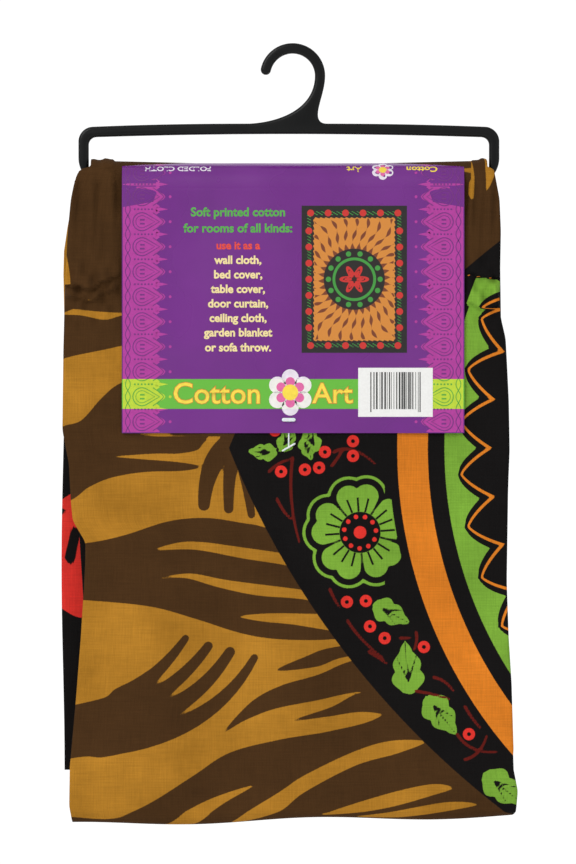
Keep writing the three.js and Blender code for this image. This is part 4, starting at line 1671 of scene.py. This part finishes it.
class PrintCard(bpy.types.Operator):
    """Print the card: its side borders, plain words, a flowered picture and two flower marks"""

    bl_idname = "tapestry.card_print"
    bl_label = "Card printing"

    def execute(self, context):
        sizes = context.scene.card_sizes
        shape = CardShape(sizes)
        self.borders(sizes, shape)
        self.words(shape)
        self.picture(shape)
        return {"FINISHED"}

    def borders(self, sizes, shape):
        """The same border down both sides, repeated by geometry nodes."""
        tree = repeat_tree()
        ground_ink = printed_ink("Magenta card ink", "#B4369C", "#C2DC34")
        line_ink = printed_ink("Purple card ink", "#74267F", "#5FAE3B")
        pitch = sizes.motif_pitch
        end = shape.from_height(shape.bottom)
        count = int(end / (pitch / MM)) + 1
        layers = zip(border_motifs(), (ground_ink, line_ink), (0.03, 0.07), ("ground", "lines"))
        for drawing, ink, lift, name in layers:
            motif = drawing.object("border_motif", ink)
            motif.data.materials.clear()
            for side, edge in ((1, shape.left), (-1, shape.right)):
                label = f"border_{name}_{'left' if side > 0 else 'right'}"
                border = run_nodes(tree, label, {"Motif": motif, "Count": count, "Pitch": pitch, "Ink": ink})
                start = end - (count - 0.5) * pitch / MM + 0.6
                self.trim(border, start, end)
                lay_on_card(border, shape, edge, start, side=side, lift=lift)
            bpy.data.objects.remove(motif)

    def trim(self, border, start, end):
        """Keeps the part of a border that lies on the card."""
        cutting = bmesh.new()
        cutting.from_mesh(border.data)
        for height, keep in ((start - 0.3, 1), (start - end + 0.4, -1)):
            everything = [*cutting.verts, *cutting.edges, *cutting.faces]
            bmesh.ops.bisect_plane(
                cutting,
                geom=everything,
                plane_co=(0, height * MM, 0),
                plane_no=(0, keep, 0),
                clear_outer=True,
            )
        bmesh.ops.triangulate(cutting, faces=cutting.faces)
        cutting.to_mesh(border.data)
        cutting.free()

    def words(self, shape):
        """Plain words about what the article is, and the two flower marks."""
        green = printed_ink("Green lettering ink", "#58B04A")
        red = printed_ink("Red lettering ink", "#E8483A")
        cream = printed_ink("Cream lettering ink", "#F8E3A4")
        yellow = printed_ink("Yellow lettering ink", "#FFE04A", "#FFE04A")
        orange = printed_ink("Orange lettering ink", "#D9812A", "#D9812A")
        white = printed_ink("White lettering ink", "#EFE6F2", "#F6F4EE")
        pink = printed_ink("Pink lettering ink", "#E76AA8", "#E76AA8")
        lines = (
            ("Soft printed cotton", -81.8, 6.2, green),
            ("for rooms of all kinds:", -90.0, 6.2, green),
            ("use it as a", -98.8, 5.6, red),
            ("wall cloth,", -106.2, 5.8, cream),
            ("bed cover,", -113.6, 5.8, cream),
            ("table cover,", -121.0, 5.8, cream),
            ("door curtain,", -128.4, 5.8, cream),
            ("ceiling cloth,", -135.8, 5.8, cream),
            ("garden blanket", -143.2, 5.8, cream),
            ("or sofa throw.", -150.8, 5.8, cream),
        )
        for number, (words, height, size, ink) in enumerate(lines):
            text = lettering(words, size, ink, f"words_{number + 1:02d}", 0.2)
            lay_on_card(text, shape, -27.8, shape.from_height(height), lift=0.06)
        for words, place, size in (("Cotton", -38.6, 15.2), ("Art", 20.4, 14.6)):
            for ink, weight, lift, layer in ((orange, 0.42, 0.06, "edge"), (yellow, 0.12, 0.1, "face")):
                text = lettering(words, size, ink, f"title_{words.lower()}_{layer}", weight)
                lay_on_card(text, shape, place, shape.from_height(-174.6), lift=lift)
        top = lettering("FOLDED CLOTH", 4.6, white, "top_words_left", 0.12)
        lay_on_card(top, shape, -58.5, 9.2, upright=-1)
        for words, place in (("Cotton", 66.0), ("Art", 31.5)):
            text = lettering(words, 5.4, yellow, f"top_words_{words.lower()}", 0.15)
            lay_on_card(text, shape, place, 9.4, upright=-1)
        marks = (("mark", -1.2, shape.from_height(-173.6), 1.5), ("top_mark", 46.0, 10.2, 0.75))
        for name, place, down, scale in marks:
            petals_piece = flower_mark(6, 5.0 * scale, 2.9 * scale, f"{name}_petals", white)
            lay_on_card(petals_piece, shape, place, down, lift=0.1)
            inner = flower_mark(6, 3.6 * scale, 1.6 * scale, f"{name}_inner_petals", pink)
            lay_on_card(inner, shape, place, down, lift=0.14)
            eye = flower_mark(1, 0.0, 2.7 * scale, f"{name}_eye", yellow)
            lay_on_card(eye, shape, place, down, lift=0.18)

    def picture(self, shape):
        """The flowered picture in its black frame."""
        left, right, low, high = 4.6, 58.3, -153.4, -78.4
        across, down = np.meshgrid(np.linspace(left, right, 108), np.linspace(high, low, 150))
        placed = shape.place(across, shape.from_height(down), 0.05)
        rows, columns = across.shape
        picture = new_object(
            "card_picture",
            placed.reshape(-1, 3),
            grid_faces(rows, columns)[:, ::-1],
            [picture_print()],
        )
        for name, depth in small_picture_depths(across, down, left, right, low, high).items():
            store(picture.data, name, depth)
        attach(picture, "front_half")


# ---- Label and tag pin ----


def label_paper():
    """Uncoated self-adhesive paper: white, matt, faintly fibrous."""
    material, tree = new_material("Uncoated label paper")
    place = add_node(tree, "ShaderNodeTexCoord").outputs["Object"]
    fibre = add_node(tree, "ShaderNodeTexNoise", {"Vector": place, "Scale": 900.0, "Detail": 3.0})
    tone = add_node(
        tree,
        "ShaderNodeMix",
        {0: fibre.outputs["Fac"], 6: linear("#ECEBE8"), 7: linear("#FAFAF8")},
        data_type="RGBA",
    )
    bump = add_node(
        tree, "ShaderNodeBump", {"Height": fibre.outputs["Fac"], "Strength": 0.1, "Distance": 0.0001}
    )
    shader = add_node(
        tree,
        "ShaderNodeBsdfPrincipled",
        {"Base Color": tone.outputs[2], "Roughness": 0.65, "Normal": bump.outputs[0]},
    )
    finish_surface(tree, shader)
    return material


def thermal_black():
    """Thermal print on paper: dull black that breaks up a little into the fibres."""
    material, tree = new_material("Thermal print")
    place = add_node(tree, "ShaderNodeTexCoord").outputs["Object"]
    speckle = add_node(tree, "ShaderNodeTexNoise", {"Vector": place, "Scale": 2500.0, "Detail": 1.0})
    tone = add_node(
        tree,
        "ShaderNodeMix",
        {0: speckle.outputs["Fac"], 6: linear("#161616"), 7: linear("#3A3A3B")},
        data_type="RGBA",
    )
    shader = add_node(tree, "ShaderNodeBsdfPrincipled", {"Base Color": tone.outputs[2], "Roughness": 0.6})
    finish_surface(tree, shader)
    return material


def clear_nylon():
    """Moulded natural nylon: milky white, a little see-through at its edges, with a waxy gloss."""
    material, tree = new_material("Moulded natural nylon")
    place = add_node(tree, "ShaderNodeTexCoord").outputs["Object"]
    cloud = add_node(tree, "ShaderNodeTexNoise", {"Vector": place, "Scale": 500.0, "Detail": 2.0})
    tone = add_node(
        tree,
        "ShaderNodeMix",
        {0: cloud.outputs["Fac"], 6: linear("#DDE6EA"), 7: linear("#F4F8FA")},
        data_type="RGBA",
    )
    shader = add_node(
        tree,
        "ShaderNodeBsdfPrincipled",
        {
            "Base Color": tone.outputs[2],
            "Roughness": 0.35,
            "IOR": 1.53,
            "Subsurface Weight": 0.2,
            "Subsurface Scale": 0.0008,
        },
    )
    finish_surface(tree, shader)
    return material


class BuildLabel(bpy.types.Operator):
    """Build the stuck-on label and its bars, which stand for no number"""

    bl_idname = "tapestry.label"
    bl_label = "Label"

    def execute(self, context):
        shape = CardShape(context.scene.card_sizes)
        left, right = LABEL_LOW[0], LABEL_HIGH[0]
        low, high = LABEL_LOW[2], LABEL_HIGH[2]
        thickness = LABEL_HIGH[1] - LABEL_LOW[1]
        across, down = np.meshgrid(np.linspace(left, right, 24), np.linspace(high, low, 16))
        corner = np.minimum(np.minimum(across - left, right - across), np.minimum(down - low, high - down))
        s = shape.from_height(down)
        face = shape.place(across, s, thickness * ease(corner, -0.5, 0.3))
        back = shape.place(across, s, 0.01)
        rows, columns = across.shape
        count = rows * columns
        rim = list(range(columns)) + [r * columns + columns - 1 for r in range(1, rows)]
        rim += [(rows - 1) * columns + c for c in range(columns - 2, -1, -1)]
        rim += [r * columns for r in range(rows - 2, 0, -1)]
        sides = [(b, a, a + count, b + count) for a, b in zip(rim, rim[1:] + rim[:1])]
        faces = [*grid_faces(rows, columns)[:, ::-1], *grid_faces(rows, columns, count), *sides]
        points = np.concatenate([face.reshape(-1, 3), back.reshape(-1, 3)])
        label = new_object("label", points, faces, [label_paper()])
        label.data.set_sharp_from_angle(angle=math.radians(40))
        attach(label, "front_half")
        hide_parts("price_label")
        bars = self.bars(shape, left, right, low, high, thickness)
        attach(bars, "front_half")
        return {"FINISHED"}

    def bars(self, shape, left, right, low, high, thickness):
        """Upright bars of random widths over the middle of the label."""
        chance = random.Random(11)
        drawing = FlatDrawing()
        module = 0.264
        place = left + 6.2
        end = right - 6.4
        while place < end:
            width = module * chance.choice((1, 1, 2, 2, 3))
            foot = low + (2.4 if place < left + 7.6 or place > right - 8 else 3.9)
            drawing.area(
                [(place, foot), (place + width, foot), (place + width, high - 2.2), (place, high - 2.2)]
            )
            place += width + module * chance.choice((1, 2, 2, 3, 4))
        bars = drawing.object("label_bars", thermal_black())
        flat = np.array([vertex.co for vertex in bars.data.vertices]) / MM
        placed = shape.place(flat[:, 0], shape.from_height(flat[:, 1]), thickness + 0.05) * MM
        bars.data.vertices.foreach_set("co", placed.ravel())
        bars.data.update()
        return bars


class FinishTagPin(bpy.types.Operator):
    """Give the tag pin its nylon"""

    bl_idname = "tapestry.tag_pin"
    bl_label = "Tag pin"

    def execute(self, context):
        pin = frame["nodes"]["tag_pin"]
        pin = bpy.data.objects[pin] if isinstance(pin, str) else pin
        nylon = clear_nylon()
        if not pin.material_slots:
            pin.data.materials.append(nylon)
        for held in pin.material_slots:
            held.material = nylon
        return {"FINISHED"}


# ---- Stage ----


def stage_paper():
    """Matt white paper laid as a floor, a little uneven."""
    material, tree = new_material("Matt paper floor")
    place = add_node(tree, "ShaderNodeTexCoord").outputs["Object"]
    cloud = add_node(tree, "ShaderNodeTexNoise", {"Vector": place, "Scale": 1.5, "Detail": 2.0})
    tone = add_node(
        tree,
        "ShaderNodeMix",
        {0: cloud.outputs["Fac"], 6: linear("#F3F3F2"), 7: linear("#F8F8F7")},
        data_type="RGBA",
    )
    shader = add_node(
        tree,
        "ShaderNodeBsdfPrincipled",
        {"Base Color": tone.outputs[2], "Roughness": 0.95, "Specular IOR Level": 0.1},
    )
    finish_surface(tree, shader)
    return material


def soft_light(name, place, aim, size, power):
    """A large square lamp that faces a point."""
    lamp = bpy.data.lights.new(name, "AREA")
    lamp.shape = "SQUARE"
    lamp.size = size
    lamp.energy = power
    thing = bpy.data.objects.new(name, lamp)
    bpy.context.scene.collection.objects.link(thing)
    thing.location = place
    direction = np.array(aim) - np.array(place)
    across = math.atan2(direction[1], direction[0]) - math.pi / 2
    tilt = math.atan2(direction[2], math.hypot(direction[0], direction[1])) + math.pi / 2
    thing.rotation_euler = (tilt, 0, across)
    return thing


class BuildStage(bpy.types.Operator):
    """Set the pale floor, the soft lights and the camera"""

    bl_idname = "tapestry.stage"
    bl_label = "Stage"

    def execute(self, context):
        scene = context.scene
        sizes = scene.stage_sizes
        floor = -sizes.floor_drop / MM
        corners = [(-6000, -6000, floor), (6000, -6000, floor), (-6000, 6000, floor), (6000, 6000, floor)]
        floor_sheet = new_object("paper_floor", corners, grid_faces(2, 2), [stage_paper()])
        middle = (0, 0, -0.2)
        soft_light("Key light", (-1.6, -2.2, 1.5), middle, size=1.8, power=49)
        soft_light("Fill light", (2.0, -2.4, 0.4), middle, size=2.2, power=8)
        # The room is white behind the object, like a studio's lit back wall, and dimmer on the lamps' side.
        world = bpy.data.worlds.new("Soft studio")
        world.use_nodes = True
        room = world.node_tree
        direction = add_node(room, "ShaderNodeTexCoord").outputs["Generated"]
        ahead = add_node(room, "ShaderNodeSeparateXYZ", {"Vector": direction}).outputs["Y"]
        brightness = add_node(
            room,
            "ShaderNodeMapRange",
            {"Value": ahead, "From Min": 0.0, "From Max": 0.85, "To Min": 0.5, "To Max": 1.08},
            interpolation_type="SMOOTHSTEP",
        )
        background = room.nodes["Background"]
        background.inputs["Color"].default_value = (1, 1, 1, 1)
        room.links.new(brightness.outputs[0], background.inputs["Strength"])
        scene.world = world
        scene.view_settings.view_transform = "Standard"
        lens = bpy.data.cameras.new("Camera")
        camera = bpy.data.objects.new("Camera", lens)
        scene.collection.objects.link(camera)
        camera.location = (sizes.aim_x, -sizes.distance, sizes.aim_z)
        camera.rotation_euler = (math.pi / 2, 0, 0)
        lens.lens = lens.sensor_width * (sizes.distance + CARD_LOW[1] * MM) / sizes.view_height
        lens.clip_end = 60
        scene.camera = camera
        return {"FINISHED"}


# ---- Panel and main ----

GROUPS = {
    "hanger_sizes": HangerSizes,
    "cloth_sizes": ClothSizes,
    "card_sizes": CardSizes,
    "tapestry_colours": TapestryColours,
    "stage_sizes": StageSizes,
}
OPERATORS = (
    BuildHanger, BuildCloth, BuildStitches, BuildCard, PrintCard, BuildLabel, FinishTagPin, BuildStage
)


class TapestryPanel(bpy.types.Panel):
    """Every piece of the tapestry with its sizes"""

    bl_idname = "VIEW3D_PT_tapestry"
    bl_label = "Folded tapestry"
    bl_space_type = "VIEW_3D"
    bl_region_type = "UI"
    bl_category = "Tapestry"

    def draw(self, context):
        layout = self.layout
        for operator in OPERATORS:
            layout.operator(operator.bl_idname)
        for name in GROUPS:
            group = getattr(context.scene, name)
            box = layout.box()
            box.label(text=name.replace("_", " ").capitalize())
            for key in group.__annotations__:
                box.prop(group, key)


def register():
    for group in GROUPS.values():
        bpy.utils.register_class(group)
    for name, group in GROUPS.items():
        setattr(bpy.types.Scene, name, bpy.props.PointerProperty(type=group))
    for operator in OPERATORS:
        bpy.utils.register_class(operator)
    bpy.utils.register_class(TapestryPanel)


def unregister():
    bpy.utils.unregister_class(TapestryPanel)
    for operator in reversed(OPERATORS):
        bpy.utils.unregister_class(operator)
    for name in reversed(GROUPS):
        delattr(bpy.types.Scene, name)
    for group in reversed(GROUPS.values()):
        bpy.utils.unregister_class(group)


def main():
    """Builds every piece in order."""
    register()
    for operator in OPERATORS:
        group, name = operator.bl_idname.split(".")
        getattr(getattr(bpy.ops, group), name)()


if __name__ == "__main__":
    main()
